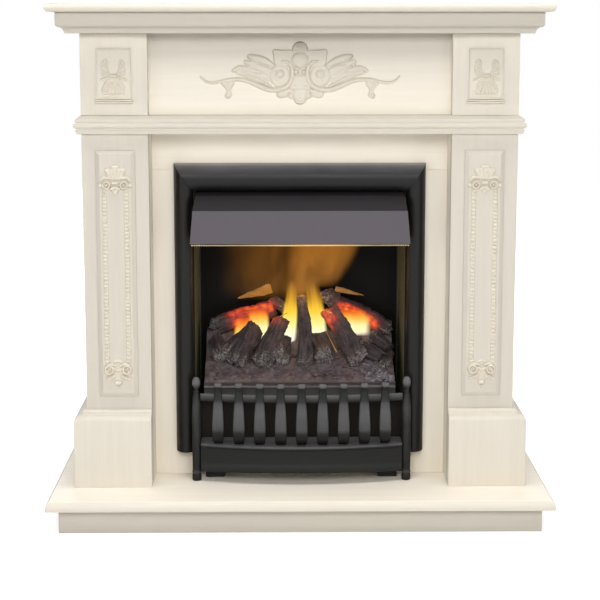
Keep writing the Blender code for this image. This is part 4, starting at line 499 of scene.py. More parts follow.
class Shell:
    """Collects the points, faces and attributes of several closed shapes."""

    def __init__(self):
        self.verts = []
        self.faces = []
        self.values = {}

    def add(self, verts, faces, **values):
        start = len(self.verts)
        self.verts.extend(verts)
        self.faces.extend([tuple(start + i for i in face) for face in faces])
        for key, numbers in values.items():
            self.values.setdefault(key, []).extend(numbers)

    def loft(self, rings, **values):
        """Joins rings of equal length, and closes both ends. A value may be one for all, or one
        for each ring."""
        count = len(rings[0])
        for key, numbers in values.items():
            if np.size(numbers) in (1, len(rings)):
                values[key] = np.repeat(np.resize(numbers, len(rings)), count).tolist()
        faces = []
        for i in range(len(rings) - 1):
            for j in range(count):
                k = (j + 1) % count
                faces.append((i * count + j, i * count + k, (i + 1) * count + k,
                              (i + 1) * count + j))
        faces.append(tuple(reversed(range(count))))
        faces.append(tuple(range((len(rings) - 1) * count, len(rings) * count)))
        self.add([point for ring in rings for point in ring], faces, **values)

    def piece(self, name, body, slot, look, replaced, angle):
        """A new piece of all that was collected, riding on a body."""
        mesh = bpy.data.meshes.new(name)
        mesh.from_pydata([tuple(v) for v in self.verts], [], self.faces)
        mesh.update()
        for key, values in self.values.items():
            layer = mesh.attributes.new(key, "FLOAT", "POINT")
            layer.data.foreach_set("value", np.asarray(values, dtype=np.float32))
        mesh.shade_smooth()
        mesh.set_sharp_from_angle(angle=math.radians(angle))
        mesh.materials.append(look)
        piece = add_object(name, mesh)
        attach(piece, body)
        if replaced:
            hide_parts(*replaced)
        shape = bmesh.new()
        shape.from_mesh(mesh)
        bmesh.ops.recalc_face_normals(shape, faces=shape.faces)
        shape.to_mesh(mesh)
        shape.free()
        return piece


def curve_through(points, count):
    """Evenly spread points on a Catmull-Rom curve through the given ones."""
    points = [np.asarray(p, dtype=float) for p in points]
    ends = [2 * points[0] - points[1]] + points + [2 * points[-1] - points[-2]]
    fine = []
    for a, b, c, d in zip(ends, ends[1:], ends[2:], ends[3:]):
        for t in np.linspace(0, 1, 12, endpoint=False):
            fine.append(0.5 * (2 * b + (c - a) * t + (2 * a - 5 * b + 4 * c - d) * t * t
                               + (3 * b - a - 3 * c + d) * t ** 3))
    fine = np.array(fine + [points[-1]])
    run = np.concatenate(([0], np.cumsum(np.linalg.norm(np.diff(fine, axis=0), axis=1))))
    wanted = np.linspace(0, run[-1], count)
    return np.stack([np.interp(wanted, run, fine[:, k]) for k in range(fine.shape[1])], axis=1)


# Carving: strokes of modelled clay on a grid, in millimetres


class Relief:
    """A height field made of strokes, each with a width, a height and a profile."""
    FLOOR = -3.0
    FALL = 1.1  # how steeply the field falls away outside a shape
    SHOWN = -0.4  # what stands over this is built
    SUNK = -0.5  # and none of it lies lower than this
    FAR = 1e9

    def __init__(self, low, high, step):
        self.xs = np.arange(low[0], high[0] + step / 2, step)
        self.zs = np.arange(low[1], high[1] + step / 2, step)
        self.grid_x, self.grid_z = np.meshgrid(self.xs, self.zs)
        self.height = np.full(self.grid_x.shape, self.FLOOR)

    def stroke(self, points, width, height, mirrored=False, profile="round"):
        """width and height are one number, or several spread along the stroke."""
        if len(points) == 1:
            points = [points[0], (points[0][0] + 0.01, points[0][1])]
        length = sum(math.dist(a, b) for a, b in zip(points, points[1:]))
        count = max(2, min(90, int(length / 1.3)))
        line = curve_through(points, count)
        share = np.linspace(0, 1, count)
        widths = np.interp(share, np.linspace(0, 1, np.size(width)), np.atleast_1d(width))
        heights = np.interp(share, np.linspace(0, 1, np.size(height)), np.atleast_1d(height))
        for way in ((1, -1) if mirrored else (1,)):
            for i in range(count - 1):
                self.segment(line[i] * (way, 1), line[i + 1] * (way, 1), widths[i:i + 2],
                             heights[i:i + 2], profile)

    def segment(self, start, end, widths, heights, profile):
        reach = max(widths) + 3
        x0, x1 = sorted((start[0], end[0]))
        z0, z1 = sorted((start[1], end[1]))
        columns = slice(*np.searchsorted(self.xs, (x0 - reach, x1 + reach)))
        rows = slice(*np.searchsorted(self.zs, (z0 - reach, z1 + reach)))
        gx, gz = self.grid_x[rows, columns], self.grid_z[rows, columns]
        if gx.size == 0:
            return
        run = end - start
        span = max(1e-9, float(run @ run))
        t = np.clip(((gx - start[0]) * run[0] + (gz - start[1]) * run[1]) / span, 0, 1)
        distance = np.hypot(gx - start[0] - t * run[0], gz - start[1] - t * run[1])
        wide = widths[0] + (widths[1] - widths[0]) * t
        tall = heights[0] + (heights[1] - heights[0]) * t
        u = distance / wide
        inside = np.clip(1 - u * u, 0, 1)
        if profile == "round":
            shape = np.sqrt(inside)
        elif profile == "leaf":
            shape = inside ** 0.6 * (1 - 0.42 * np.exp(-(u / 0.24) ** 2))
        elif profile == "ring":
            shape = np.exp(-((u - 0.7) / 0.2) ** 2) * np.clip((1 - u) * 6, 0, 1)
            shape = np.maximum(shape, 0.1 * np.sqrt(inside))
        else:
            shape = np.clip((1 - u) * 3.2, 0, 1)
        rise = np.where(u < 1, shape * tall, -(distance - wide) * self.FALL)
        self.height[rows, columns] = np.maximum(self.height[rows, columns], rise)

    def mass(self, outline, height, edge, mirrored=False):
        """A filled shape, domed over the given edge width. Its outline is a loose polygon."""
        closed = curve_through(list(outline) + [outline[0]], 6 * len(outline))
        for way in ((1, -1) if mirrored else (1,)):
            loop = closed * (way, 1)
            away = np.full(self.height.shape, self.FAR)
            inside = np.zeros(self.height.shape, dtype=bool)
            for (x0, z0), (x1, z1) in zip(loop, np.roll(loop, -1, axis=0)):
                span = (x1 - x0) ** 2 + (z1 - z0) ** 2 + 1e-9
                t = ((self.grid_x - x0) * (x1 - x0) + (self.grid_z - z0) * (z1 - z0)) / span
                t = np.clip(t, 0, 1)
                away = np.minimum(away, np.hypot(self.grid_x - x0 - t * (x1 - x0),
                                                 self.grid_z - z0 - t * (z1 - z0)))
                if z0 != z1:
                    crossing = x0 + (self.grid_z - z0) * (x1 - x0) / (z1 - z0)
                    inside ^= ((z0 > self.grid_z) != (z1 > self.grid_z)) & (self.grid_x < crossing)
            share = np.clip(away / edge, 0, 1)
            rise = np.where(inside, height * np.sqrt(1 - (1 - share) ** 2), -self.FALL * away)
            self.height = np.maximum(self.height, rise)

    def cut(self, points, width, depth, mirrored=False):
        """Presses a soft groove into what is there."""
        line = curve_through(points, 8 * len(points))
        for way in ((1, -1) if mirrored else (1,)):
            away = np.full(self.height.shape, self.FAR)
            for x, z in line:
                away = np.minimum(away, np.hypot(self.grid_x - x * way, self.grid_z - z))
            pressed = depth * np.exp(-(away / width) ** 2)
            self.height = np.where(self.height > 0, np.maximum(self.height - pressed, 0.4),
                                   self.height)

    def soften(self, rounds):
        for _ in range(rounds):
            h = np.pad(self.height, 1, mode="edge")
            self.height = (h[1:-1, 1:-1] * 4 + h[:-2, 1:-1] + h[2:, 1:-1] + h[1:-1, :-2]
                           + h[1:-1, 2:]) / 8

    def hollows(self):
        """How far each place stands over the places around it, from 0 to 1: what the carving's look paints
        as shade in the hollows and highlight on the crests.
        """
        low = np.maximum(self.height, self.SUNK)
        wide = low.copy()
        for _ in range(7):
            h = np.pad(wide, 1, mode="edge")
            wide = (h[:-2, 1:-1] + h[2:, 1:-1] + h[1:-1, :-2] + h[1:-1, 2:]) / 4
        return np.clip(0.5 + (low - wide) * 0.14, 0, 1)

    def build(self, shell, middle, face_y):
        """Adds the carved face, facing -Y, to a shell. Middle is (x, z) in metres."""
        high = np.maximum(self.height, self.SUNK)
        keep = self.height > self.SHOWN
        cells = keep[:-1, :-1] | keep[1:, :-1] | keep[:-1, 1:] | keep[1:, 1:]
        used = np.zeros(keep.shape, dtype=bool)
        for dz in (0, 1):
            for dx in (0, 1):
                used[dz:len(cells) + dz, dx:cells.shape[1] + dx] |= cells
        index = np.cumsum(used.ravel()).reshape(used.shape) - 1
        rows, columns = np.nonzero(used)
        points = np.stack([middle[0] + self.xs[columns] * MM,
                           face_y - high[rows, columns] * MM,
                           middle[1] + self.zs[rows] * MM], axis=1)
        r, c = np.nonzero(cells)
        faces = np.stack([index[r, c], index[r, c + 1], index[r + 1, c + 1], index[r + 1, c]],
                         axis=1)
        shell.add([tuple(p) for p in points], [tuple(f) for f in faces.tolist()],
                  relief=self.hollows()[rows, columns].tolist())


def frieze_relief():
    """A shell crown over a cartouche, with scrolls and acanthus running out to both sides."""
    carving = Relief((-193, -62), (193, 62), 0.72)
    lay, mass, cut = carving.stroke, carving.mass, carving.cut
    mass([(0, 41.5), (30, 41), (51, 42), (50, 30), (50, 20), (46, 12), (20, 10), (0, 8), (-20, 10),
         (-46, 12), (-50, 20), (-50, 30), (-51, 42), (-30, 41)], 3.2, 2.4)
    lay([(17, 40), (34, 39.5), (49.5, 40.5), (49, 30), (49, 22)], (1.8, 2.2, 1.6), 4.2, True)
    for angle in range(-78, 79, 26):
        x, z = math.sin(math.radians(angle)), math.cos(math.radians(angle))
        lay([(0, 42), (10.6 * x, 43 + 10.6 * z)], (4, 4.6), (5.5, 5))
    mass([(0, 39), (11, 36), (17, 28), (17, 19), (11, 11), (0, 6.5), (-11, 11), (-17, 19), (-17, 28),
         (-11, 36)], 8.6, 13)
    mass([(38, 14), (50, 11), (58, -2), (56, -18), (46, -28), (34, -28), (23, -21), (19, -8), (25, 8)], 4, 6,
         True)
    mass([(50, 15), (66, 20), (82, 24), (94, 24), (99, 14), (98, 4), (90, -6), (78, -17), (64, -21),
         (54, -12), (50, 2)], 3.6, 9, True)
    mass([(96, 2), (108, 6), (118, 5), (124, 0), (122, -4), (108, -9), (94, -15), (78, -21), (74, -14),
         (86, -4)], 3.4, 6, True)
    lay([(54, 13), (68, 20.5), (84, 26), (98, 30)], (4.5, 7, 7.5, 3.6), (6.4, 7.6, 7.4, 5), True, "leaf")
    lay([(58, 2), (76, 8), (92, 15), (105, 20)], (5, 7.6, 7, 3), (6.2, 7.2, 7, 4.4), True, "leaf")
    lay([(64, -10), (82, -3), (100, 4), (116, 8), (127, 4)], (5, 7.4, 6.4, 4.6, 2.6), (6, 7, 6.4, 5.6, 4),
        True, "leaf")
    mass([(128, -14), (150, -15), (152, -22), (145, -30), (141, -38), (145, -46), (138, -51), (131, -45),
         (133, -34), (127, -24)], 4.8, 7, True)
    mass([(-11, -6), (11, -6), (16, -16), (20, -30), (14, -36), (-14, -36), (-20, -30), (-16, -16)], 6.4, 8)
    mass([(8, -32), (26, -34), (42, -39), (45, -45), (38, -50), (25, -48), (15, -52), (8, -46)], 5, 5, True)
    mass([(-13, -30), (13, -30), (17, -42), (11, -55), (0, -61.5), (-11, -55), (-17, -42)], 8.2, 9.5)
    lay([(34, 20), (26, 19.5), (19, 14), (15, 5), (14.5, -7), (18, -19), (28, -29), (43, -34), (60, -33.5),
        (76, -28), (92, -20.5), (108, -15.5), (124, -14), (140, -15.5), (152, -18.5), (166, -21),
        (178, -19.5), (186, -14.5), (191, -9)],
        (2.2, 3.6, 4.4, 5, 5, 4.8, 4.6, 4.4, 4.2, 3.8, 3.2, 2.8, 2.5, 2.3, 1.5),
        (6.5, 7.8, 8.6, 8.8, 8.8, 8.4, 7.8, 7.2, 6.6, 6, 5.2, 4.8, 4.4, 4, 3.2), True)
    lay([(57, -27), (72, -20), (88, -11), (104, -5), (122, -2)], (2, 3.2, 2.6, 1.4), (5.6, 6.2, 5.4, 3.6),
        True)
    lay([(51, 6), (55, -6), (52, -18)], (2.4, 4, 2), (6, 6.4, 5), True)
    beads = ((38, -3.5, 8.8, 9.4), (97, 28.5, 3.4, 6.6), (103, 13, 3.4, 6), (128, 1.5, 3.2, 5.4),
             (140, -47, 4, 6), (7.5, 0.5, 3.6, 7))
    for x, z, width, height in beads:
        lay([(x, z)], width, height, True)
    lay([(0, 1.5), (0, -2.5)], 3.2, 6.6)
    lay([(-8, -56.5), (0, -59), (8, -56.5)], (2.2, 3.4, 2.2), 8.4)
    carving.soften(1)
    cut([(60, 10), (72, 14), (86, 15)], 1.6, 2.2, True)
    cut([(78, -1), (98, 0), (116, 1)], 1.6, 2, True)
    cut([(140, -20), (139, -32), (137, -42)], 1.6, 1.8, True)
    cut([(46, 3), (48, -8), (44, -16)], 1.6, 1.6, True)
    cut([(20, -41), (23, -46)], 2, 5, True)
    cut([(9, -26), (15, -27)], 1.2, 1.6, True)
    for angle in (-52, -18, 18, 52):
        x, z = math.sin(math.radians(angle)), math.cos(math.radians(angle))
        cut([(5 * x, 44 + 5 * z), (17 * x, 44 + 17 * z)], 1, 1.4)
    carving.soften(2)
    return carving


def pilaster_relief(top, bottom, low, high):
    """A palmette over a pendant, joined by two strings of pellets. Heights in millimetres."""
    carving = Relief((-34.5, low), (34.5, high), 0.62)
    lay, mass, cut = carving.stroke, carving.mass, carving.cut
    for middle in (-21, 21):
        lay([(middle, bottom + 18), (middle, top - 14)], 4.4, 1, profile="flat")
        count = int((top - bottom - 40) / 7.4)
        for i in range(count + 1):
            z = bottom + 22 + i * (top - bottom - 42) / count
            lay([(middle - 1.6, z), (middle + 1.6, z)], 2.9, 3.2)
    z = top
    mass([(-8, z + 1), (8, z + 1), (14, z + 6), (20, z + 17), (17, z + 23), (9, z + 24), (6, z + 29),
         (-6, z + 29), (-9, z + 24), (-17, z + 23), (-20, z + 17), (-14, z + 6)], 4.6, 7)
    lay([(-5, z + 26.5), (5, z + 26.5)], 3, 5.4)
    lay([(8, z + 8), (16, z + 19)], (2.4, 4.4), (4.4, 5.2), True)
    lay([(5, z + 3), (14, z + 5.5), (23, z + 5), (28, z)], (2.4, 3.2, 3.4, 2.2), (4.6, 5.8, 4.6), True)
    lay([(17, z - 9)], 9.4, 7, True, "ring")
    lay([(16, z - 9)], 2.2, 4, True)
    lay([(28.5, z - 9.5)], 4.4, 6.6, True)
    lay([(-3, z - 5), (3, z - 5)], 3.2, 5.6)
    lay([(-8, z - 16.5), (0, z - 14), (8, z - 16.5)], (2.4, 3.4, 2.4), 5.2)
    mass([(-7, z - 16), (7, z - 16), (5, z - 23), (0, z - 27), (-5, z - 23)], 4, 4.5)
    lay([(21, z - 20)], 3.2, 4.4, True)
    z = bottom
    mass([(-9, z + 16), (9, z + 16), (11, z + 4), (9, z - 10), (4, z - 20), (-4, z - 20), (-9, z - 10),
         (-11, z + 4)], 1.2, 9)
    lay([(17.5, z + 5.5)], 11, 7, True, "ring")
    lay([(20.5, z + 2.5)], 3.2, 4.6, True)
    lay([(5, z + 14), (12, z + 16), (20, z + 15)], (2, 2.8, 2), 5, True)
    lay([(-7, z + 21), (0, z + 23), (7, z + 21)], (1.6, 2.2, 1.6), 3)
    lay([(-8, z + 8), (0, z + 5), (8, z + 8)], 2.8, 4.6)
    lay([(9, z - 8), (16, z - 11), (23, z - 13)], (3.4, 4, 2.4), (5, 4.6, 3.8), True)
    lay([(-2.5, z - 21), (2.5, z - 21)], 4.4, 6.6)
    lay([(0, z - 29)], 2.6, 3.4)
    carving.soften(1)
    z = top
    for x in (-4.5, 4.5):
        cut([(x * 0.5, z + 6), (x, z + 22)], 1, 1.1)
    cut([(7, z + 6), (12, z + 20)], 1, 1.1, True)
    carving.soften(1)
    return carving


def rosette_relief():
    """A low flower: a tied bar with leaves above and a fan of flutes below."""
    carving = Relief((-27, -38), (27, 38), 0.55)
    lay, mass, cut = carving.stroke, carving.mass, carving.cut
    mass([(-8, -3), (8, -3), (18, -14), (23, -28), (19, -33), (0, -35), (-19, -33), (-23, -28), (-18, -14)],
         2.6, 7)
    mass([(4, 3), (9, 12), (10, 26), (15, 32), (22, 26), (24, 12), (22, 1), (10, 0)], 2.2, 5, True)
    lay([(10, -2), (23, -8)], (1.6, 2.8), 2.6, True)
    lay([(-4, 0), (4, 0)], 3.4, 4.4)
    carving.soften(1)
    for x, z in ((4, -33), (11.5, -31), (18.5, -26)):
        cut([(x * 0.35, -11), (x, z)], 0.9, 1.3, True)
    for x, z in ((17, 29), (21, 21), (23, 12), (23, 4)):
        cut([(8, 2 + z * 0.25), (x, z)], 0.9, 1.2, True)
    lay([(-19, -33.5), (0, -35), (19, -33.5)], 1.5, 3)
    carving.soften(1)
    return carving


def build_carvings():
    low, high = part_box("frieze_ornament")
    shell = Shell()
    frieze_relief().build(shell, ((low.x + high.x) / 2, (low.z + high.z) / 2), high.y)
    shell.piece("frieze_scrolls", "suite", "carving", CARVED, ["frieze_ornament"], 180)
    low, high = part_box("pilaster_ornament_right")
    middle_x = (low.x + high.x) / 2
    z0, z1 = low.z / MM, high.z / MM
    carving = pilaster_relief(z1 - 31, z0 + 32.5, z0, z1)
    for word, side in SIDES:
        shell = Shell()
        carving.build(shell, (side * middle_x, 0), high.y)
        shell.piece("pilaster_carving_" + word, "suite", "carving", COLUMN_CARVED,
                    ["pilaster_ornament_" + word], 180)
    rosette = rosette_relief()
    for word, side in SIDES:
        low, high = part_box("rosette_plaque_" + word)
        middle = ((low.x + high.x) / 2, (low.z + high.z) / 2)
        half = ((high.x - low.x) / 2, (high.z - low.z) / 2)
        shell = Shell()
        rings = []
        for inset, proud in ((3.6, 0), (3.6, 4.4), (4.2, 5.2), (6.4, 6), (8, 6.8), (9.4, 7)):
            rings.append([(middle[0] + sx * (half[0] - inset * MM), high.y - proud * MM,
                           middle[1] + sz * (half[1] - inset * MM) + 0.003)
                          for sx, sz in ((-1, -1), (1, -1), (1, 1), (-1, 1))])
        shell.loft(rings, relief=[0.6] * (len(rings) * 4))
        for rise, tall, proud, spare in ((0, 3.2, 9, 0), (3.9, 2.6, 12.6, 1),
                                         (7.1, 3, 9.6, 3)):
            z0 = low.z / MM + rise
            lip = [(-0.5, z0), (proud - 1, z0), (proud, z0 + 0.8), (proud, z0 + tall - 0.8),
                   (proud - 1, z0 + tall), (-0.5, z0 + tall)]
            shell.loft([[(middle[0] + sx * (half[0] - spare * MM), high.y - dy * MM + 0.0005, z * MM)
                         for dy, z in lip] for sx in (-1, 1)], relief=[0.62] * 12)
        rosette.build(shell, middle, high.y - 0.007)
        shell.piece("rosette_carving_" + word, "suite", "carving", ROSETTE_LOOK,
                    ["rosette_plaque_" + word], 24)


# The fret


LEDGE_STEPS = 56
BARS = 9
BAR_PITCH = 0.0414
LEDGE_RISE = (0.069, 0.077)  # the ledge's underside and top over the hearth
RAIL_RISE = 0.1705
RAIL_BOW = 0.022
LEDGE_BOW = 0.0315
BAR_THICK = 3.1  # half of it, in millimetres
KNUCKLE_PLACE = (-10.6, 124)  # forward of the rail and over the bar's foot, in millimetres


def around(count):
    """Angles spread evenly round a circle."""
    return [2 * math.pi * k / count for k in range(count)]


def rounded(half_wide, half_tall, radius):
    """A rectangle's outline with round corners, round its middle."""
    points = []
    steps = 3
    for sx, sz, start in ((1, 1, 0), (-1, 1, 90), (-1, -1, 180), (1, -1, 270)):
        for i in range(steps + 1):
            angle = math.radians(start + 90 * i / steps)
            points.append((sx * (half_wide - radius) + radius * math.cos(angle),
                           sz * (half_tall - radius) + radius * math.sin(angle)))
    return points


BAR_PATH = (  # over the bar's foot, forward of the rail, and width, in millimetres
    (0, -11, 16), (4.5, -3, 18.5), (11.6, 6, 21.8), (22, 12.6, 23), (36, 15.8, 23),
    (54, 14, 22), (77.4, 9.4, 19.4), (95, 4.8, 16.6), (109.6, 3, 15.2),
    (117, 6.2, 14.8), (124, 10.4, 14.6))
# How grey each bar is along its path: painted shade on the curled foot and the neck over the rail, painted
# light on the lit face.
BAR_PAINTED_LIGHT = ((0, 26, 36, 70, 84, 93, 100, 124),
            (0.05, 0.1, 0.62, 0.74, 0.62, 0.18, 0.05, 0.3))
KNUCKLE = ((-7.3, 0.6), (-7.2, 2.8), (-6.4, 4.1), (-4.8, 4.6), (0, 4.7), (4.8, 4.6), (6.4, 4.1),
           (7.2, 2.8), (7.3, 0.6))


def build_fret():
    low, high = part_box("fret_casting")
    shift = (low.x + high.x) / 2
    inner = (high.x - low.x) / 2
    post_low, post_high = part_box("fret_post_right")
    post_y = (post_low.y + post_high.y) / 2
    radius = (post_high.y - post_low.y) / 2
    half_spread = post_high.x - radius - shift

    def bow(x, end_y, depth):
        return end_y - depth * (1 - (x / half_spread) ** 2)

    def rail_line(x):
        return bow(x, post_y, RAIL_BOW)

    def ledge_line(x):
        return bow(x, post_y - radius, LEDGE_BOW)

    def band(shell, outline_at, wear):
        """Sweeps an outline, which may change with its place, from end to end."""
        rings = []
        for i in range(LEDGE_STEPS + 1):
            x = -inner + 2 * inner * i / LEDGE_STEPS
            rings.append([(shift + x, y, z) for y, z in outline_at(x)])
        shell.loft(rings, wear=list(wear) * len(rings))

    ledge_low, ledge_high = (HEARTH_TOP + rise for rise in LEDGE_RISE)
    edge = ((0.012, ledge_high), (0.003, ledge_high - 0.0003), (0.001, ledge_high - 0.0014),
            (0, ledge_high - 0.0036), (0.0006, ledge_low + 0.0016), (0.0026, ledge_low))
    band_low = ledge_low - 0.0455

    def apron_at(x):
        foot = band_low - 0.0045 * (x / inner) ** 2
        lines = ((0.008, ledge_low + 0.001), (0.0034, ledge_low + 0.001), (0.004, foot + 0.02),
                 (0.003, foot + 0.0155), (0.0021, foot + 0.012), (0.002, foot + 0.003),
                 (0.003, foot + 0.0008), (0.005, foot), (0.008, foot + 0.001))
        return [(ledge_line(x) + back, height) for back, height in lines]

    rail_z = HEARTH_TOP + RAIL_RISE
    shell = Shell()
    # The ledge's top and front edge are painted grey and its underside near black: painted light and shade.
    band(shell, lambda x: [(high.y, ledge_low), (high.y, ledge_high)]
         + [(ledge_line(x) + back, height) for back, height in edge],
         (0.2, 0.85, 0.85, 0.95, 0.75, 0.3, 0.1, 0.05))
    # The apron's rolled foot is painted lighter: painted light on the roll.
    band(shell, apron_at, (0, 0, 0.02, 0.1, 0.22, 0.26, 0.2, 0.1, 0))
    rail = rounded(0.004, 0.0075, 0.0028)
    # The rail's top is painted lighter: a painted highlight.
    band(shell, lambda x: [(rail_line(x) + dy, rail_z + dz) for dy, dz in rail],
         [0.25 + 90 * max(0, dz) for _, dz in rail])
    foot_middle = inner - 0.027
    for _, side in SIDES:
        front = ledge_line(foot_middle) + 0.036
        rings = []
        for height, grow in ((low.z, -0.0012), (low.z + 0.001, 0), (low.z + 0.014, 0),
                             (low.z + 0.018, -0.0015), (ledge_low + 0.001, -0.0015)):
            rings.append([(shift + side * foot_middle + dx, front + 0.01 + dy, height)
                          for dx, dy in rounded(0.019 + grow, 0.01 + grow, 0.003)])
        shell.loft(rings, wear=0.22)
    line = curve_through(BAR_PATH, 44)
    run = np.gradient(line[:, :2], axis=0)
    run /= np.linalg.norm(run, axis=1)[:, None]
    for bar in range(BARS):
        across = (bar - BARS // 2) * BAR_PITCH
        place = Vector((shift + across, rail_line(across), ledge_high - 0.002))
        rings = []
        for (height, forward, width), (rise, lean) in zip(line, run):
            ring = []
            for angle in around(20):
                c, s = math.cos(angle), math.sin(angle)
                wide = width / 2 * math.copysign(abs(c) ** 0.45, c)
                thick = BAR_THICK * math.copysign(abs(s) ** 0.55, s) * (1 + 0.12 * abs(s))
                ring.append(place + MM * Vector((wide, -forward - thick * rise,
                                                 height - thick * lean)))
            rings.append(ring)
        shell.loft(rings, wear=np.interp(line[:, 0], BAR_PAINTED_LIGHT[0], BAR_PAINTED_LIGHT[1]))
        # The knuckle is painted near its palest: a painted highlight.
        y, z = KNUCKLE_PLACE
        shell.loft([[place + MM * Vector((dx, y - reach * math.sin(angle), z + reach * math.cos(angle)))
                     for angle in around(18)] for dx, reach in KNUCKLE], wear=0.95)
    shell.piece("fret_bars_and_ledge", "fret", "fret_iron", IRON, ["fret_casting"], 50)
    build_posts(shift, half_spread, post_y, radius, post_low.z, post_high.z, inner)


POST_OUTLINE = (  # share of the radius, and millimetres under the top
    (0.12, 0.1), (0.42, 1), (0.68, 3.8), (0.84, 8), (0.9, 12.5), (0.84, 17), (0.68, 21),
    (0.52, 24), (0.46, 26.6), (0.54, 28), (0.64, 29.2), (0.64, 31), (0.58, 32.4), (0.66, 35),
    (0.76, 41), (0.84, 50), (0.91, 62), (0.96, 76), (1, 94), (1, 130), (0.97, 160),
    (0.94, 186), (0.93, 191), (0.99, 192.4), (1, 195.4), (0.92, 196.8), (0.92, 198),
    (1, 199.4), (1, 210), (0.92, 211))
# How grey each post is down its height: a painted highlight on the bud and the foot's bands, painted shade
# in the neck and grooves.
POST_PAINTED_LIGHT = ((0, 12, 20, 27, 34, 60, 100, 186, 192, 196, 199, 211),
             (1, 0.95, 0.45, 0.1, 0.25, 0.5, 0.32, 0.1, 0.5, 0.5, 0.05, 0.15))


def build_posts(shift, half_spread, post_y, radius, floor, top, inner):
    """Turned posts: a banded foot, a swelling shaft, a thin collar and a bud."""
    flat = inner - 0.0002
    shrink = (top - floor) / (POST_OUTLINE[-1][1] * MM)
    for word, side in SIDES:
        shell = Shell()
        rings = []
        for share, drop in POST_OUTLINE:
            ring = []
            for angle in around(40):
                x = side * half_spread + radius * share * math.cos(angle)
                x = max(x, flat) if side > 0 else min(x, -flat)
                ring.append((shift + x, post_y + radius * share * math.sin(angle),
                             top - drop * MM * shrink))
            rings.append(ring)
        drops = [drop for _, drop in POST_OUTLINE]
        shell.loft(rings, wear=np.interp(drops, POST_PAINTED_LIGHT[0], POST_PAINTED_LIGHT[1]))
        shell.piece("fret_turned_post_" + word, "fret", "fret_iron", IRON,
                    ["fret_post_" + word], 50)


# The hood's edge


SCALLOP = 0.0046


def build_edge():
    """A brass strip cut in small scallops, with a painted glow for the fire's light below its middle."""
    low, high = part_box("hood_edge_strip")
    steps = 8
    count = int((high.x - low.x) / SCALLOP) * steps
    middle_y = (low.y + high.y) / 2
    rings, lit = [], []
    for i in range(count + 1):
        x = low.x + (high.x - low.x) * i / count
        wave = abs(math.sin(math.pi * i / steps))
        foot = low.z + 0.0022 * (1 - wave ** 0.8)
        swell = 0.0006 + 0.0008 * wave
        rings.append([(x, middle_y - swell, foot + 0.0005), (x, middle_y - 0.0004, foot),
                      (x, middle_y + 0.0004, foot), (x, middle_y + 0.0007, high.z - 0.0002),
                      (x, middle_y - 0.0007, high.z - 0.0002)])
        near = 0.16 + 0.84 * math.exp(-((x - 0.018) / 0.1) ** 4)
        lit.extend([wave * near, wave * near, wave * near, 0.25 * near, 0.25 * near])
    shell = Shell()
    shell.loft(rings, glow=lit)
    shell.piece("hood_scalloped_edge", "suite", "brass_edge", BRASS, ["hood_edge_strip"], 60)


build_carvings()
build_fret()
build_edge()


# The fuel bed and the logs


bed_low, bed_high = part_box("ember_bed")
BED_HALF = (bed_high.x - bed_low.x) / 2
BED_FRONT = bed_low.y
BED_FLOOR = bed_low.z
HOT_SPOTS = (  # x, y, z, reach and heat
    (-0.136, 0.1, 0.372, 0.014, 0.74), (-0.122, 0.1, 0.378, 0.015, 0.8),
    (-0.106, 0.102, 0.382, 0.016, 0.84), (-0.09, 0.104, 0.386, 0.016, 0.82),
    (-0.074, 0.106, 0.389, 0.016, 0.8), (-0.06, 0.106, 0.391, 0.014, 0.7),
    (-0.124, 0.096, 0.358, 0.015, 0.9), (-0.1, 0.098, 0.364, 0.015, 0.94),
    (-0.078, 0.1, 0.368, 0.015, 0.94), (0.088, 0.1, 0.392, 0.012, 0.72),
    (0.1, 0.1, 0.388, 0.013, 0.9), (0.114, 0.1, 0.382, 0.014, 0.94),
    (0.128, 0.098, 0.373, 0.014, 0.92), (0.142, 0.097, 0.364, 0.014, 0.84),
    (0.154, 0.096, 0.355, 0.012, 0.72), (0.104, 0.096, 0.366, 0.015, 1.05),
    (0.126, 0.095, 0.356, 0.015, 1.05), (0.058, 0.07, 0.384, 0.013, 0.74),
    (0.066, 0.068, 0.372, 0.014, 0.84), (0.072, 0.066, 0.358, 0.012, 0.62),
    (-0.046, 0.07, 0.366, 0.013, 0.64))


PAN_OUTLINE = (  # behind its front face and over the ledges
    (0.003, 0), (0.0002, 0.0006), (0.0002, 0.0245), (-0.0006, 0.0258), (0, 0.0268),
    (0.001, 0.0275), (0.0012, 0.0325), (-0.0002, 0.0335), (-0.0005, 0.0352), (0.0008, 0.0364),
    (0.003, 0.0366), (0.0034, 0.02))


def heat_at(point):
    return max(heat * math.exp(-(math.dist(point, place) / reach) ** 2)
               for *place, reach, heat in HOT_SPOTS)


def ramp(value, start, length):
    return min(1, max(0, (value - start) / length))


def smooth(share):
    return share * share * (3 - 2 * share)


def bed_height(x, y):
    """The bed's surface over the case ledges: a rolled front, a slope and a hump at the back."""
    depth = y - BED_FRONT
    rise = 0.0285 + 0.011 * math.sqrt(ramp(depth, 0.001, 0.016)) + 0.029 * smooth(
        ramp(depth, 0.012, 0.08))
    return rise + 0.048 * smooth(ramp(depth, 0.085, 0.05))


COAL_WIDE, COAL_DEEP = 0.0155, 0.0125


def lumps(x, y):
    """Broken coals: cells with sunk seams, each at its own height."""
    place = Vector((x / COAL_WIDE + 7, y / COAL_DEEP, 3))
    distances, centres = noise.voronoi(place)
    seam = min(1, (distances[1] - distances[0]) * 2.3)
    own = noise.noise(centres[0] * 3.7)
    small = noise.noise(Vector((x / 0.006, y / 0.006, 9)))
    return seam, own, small


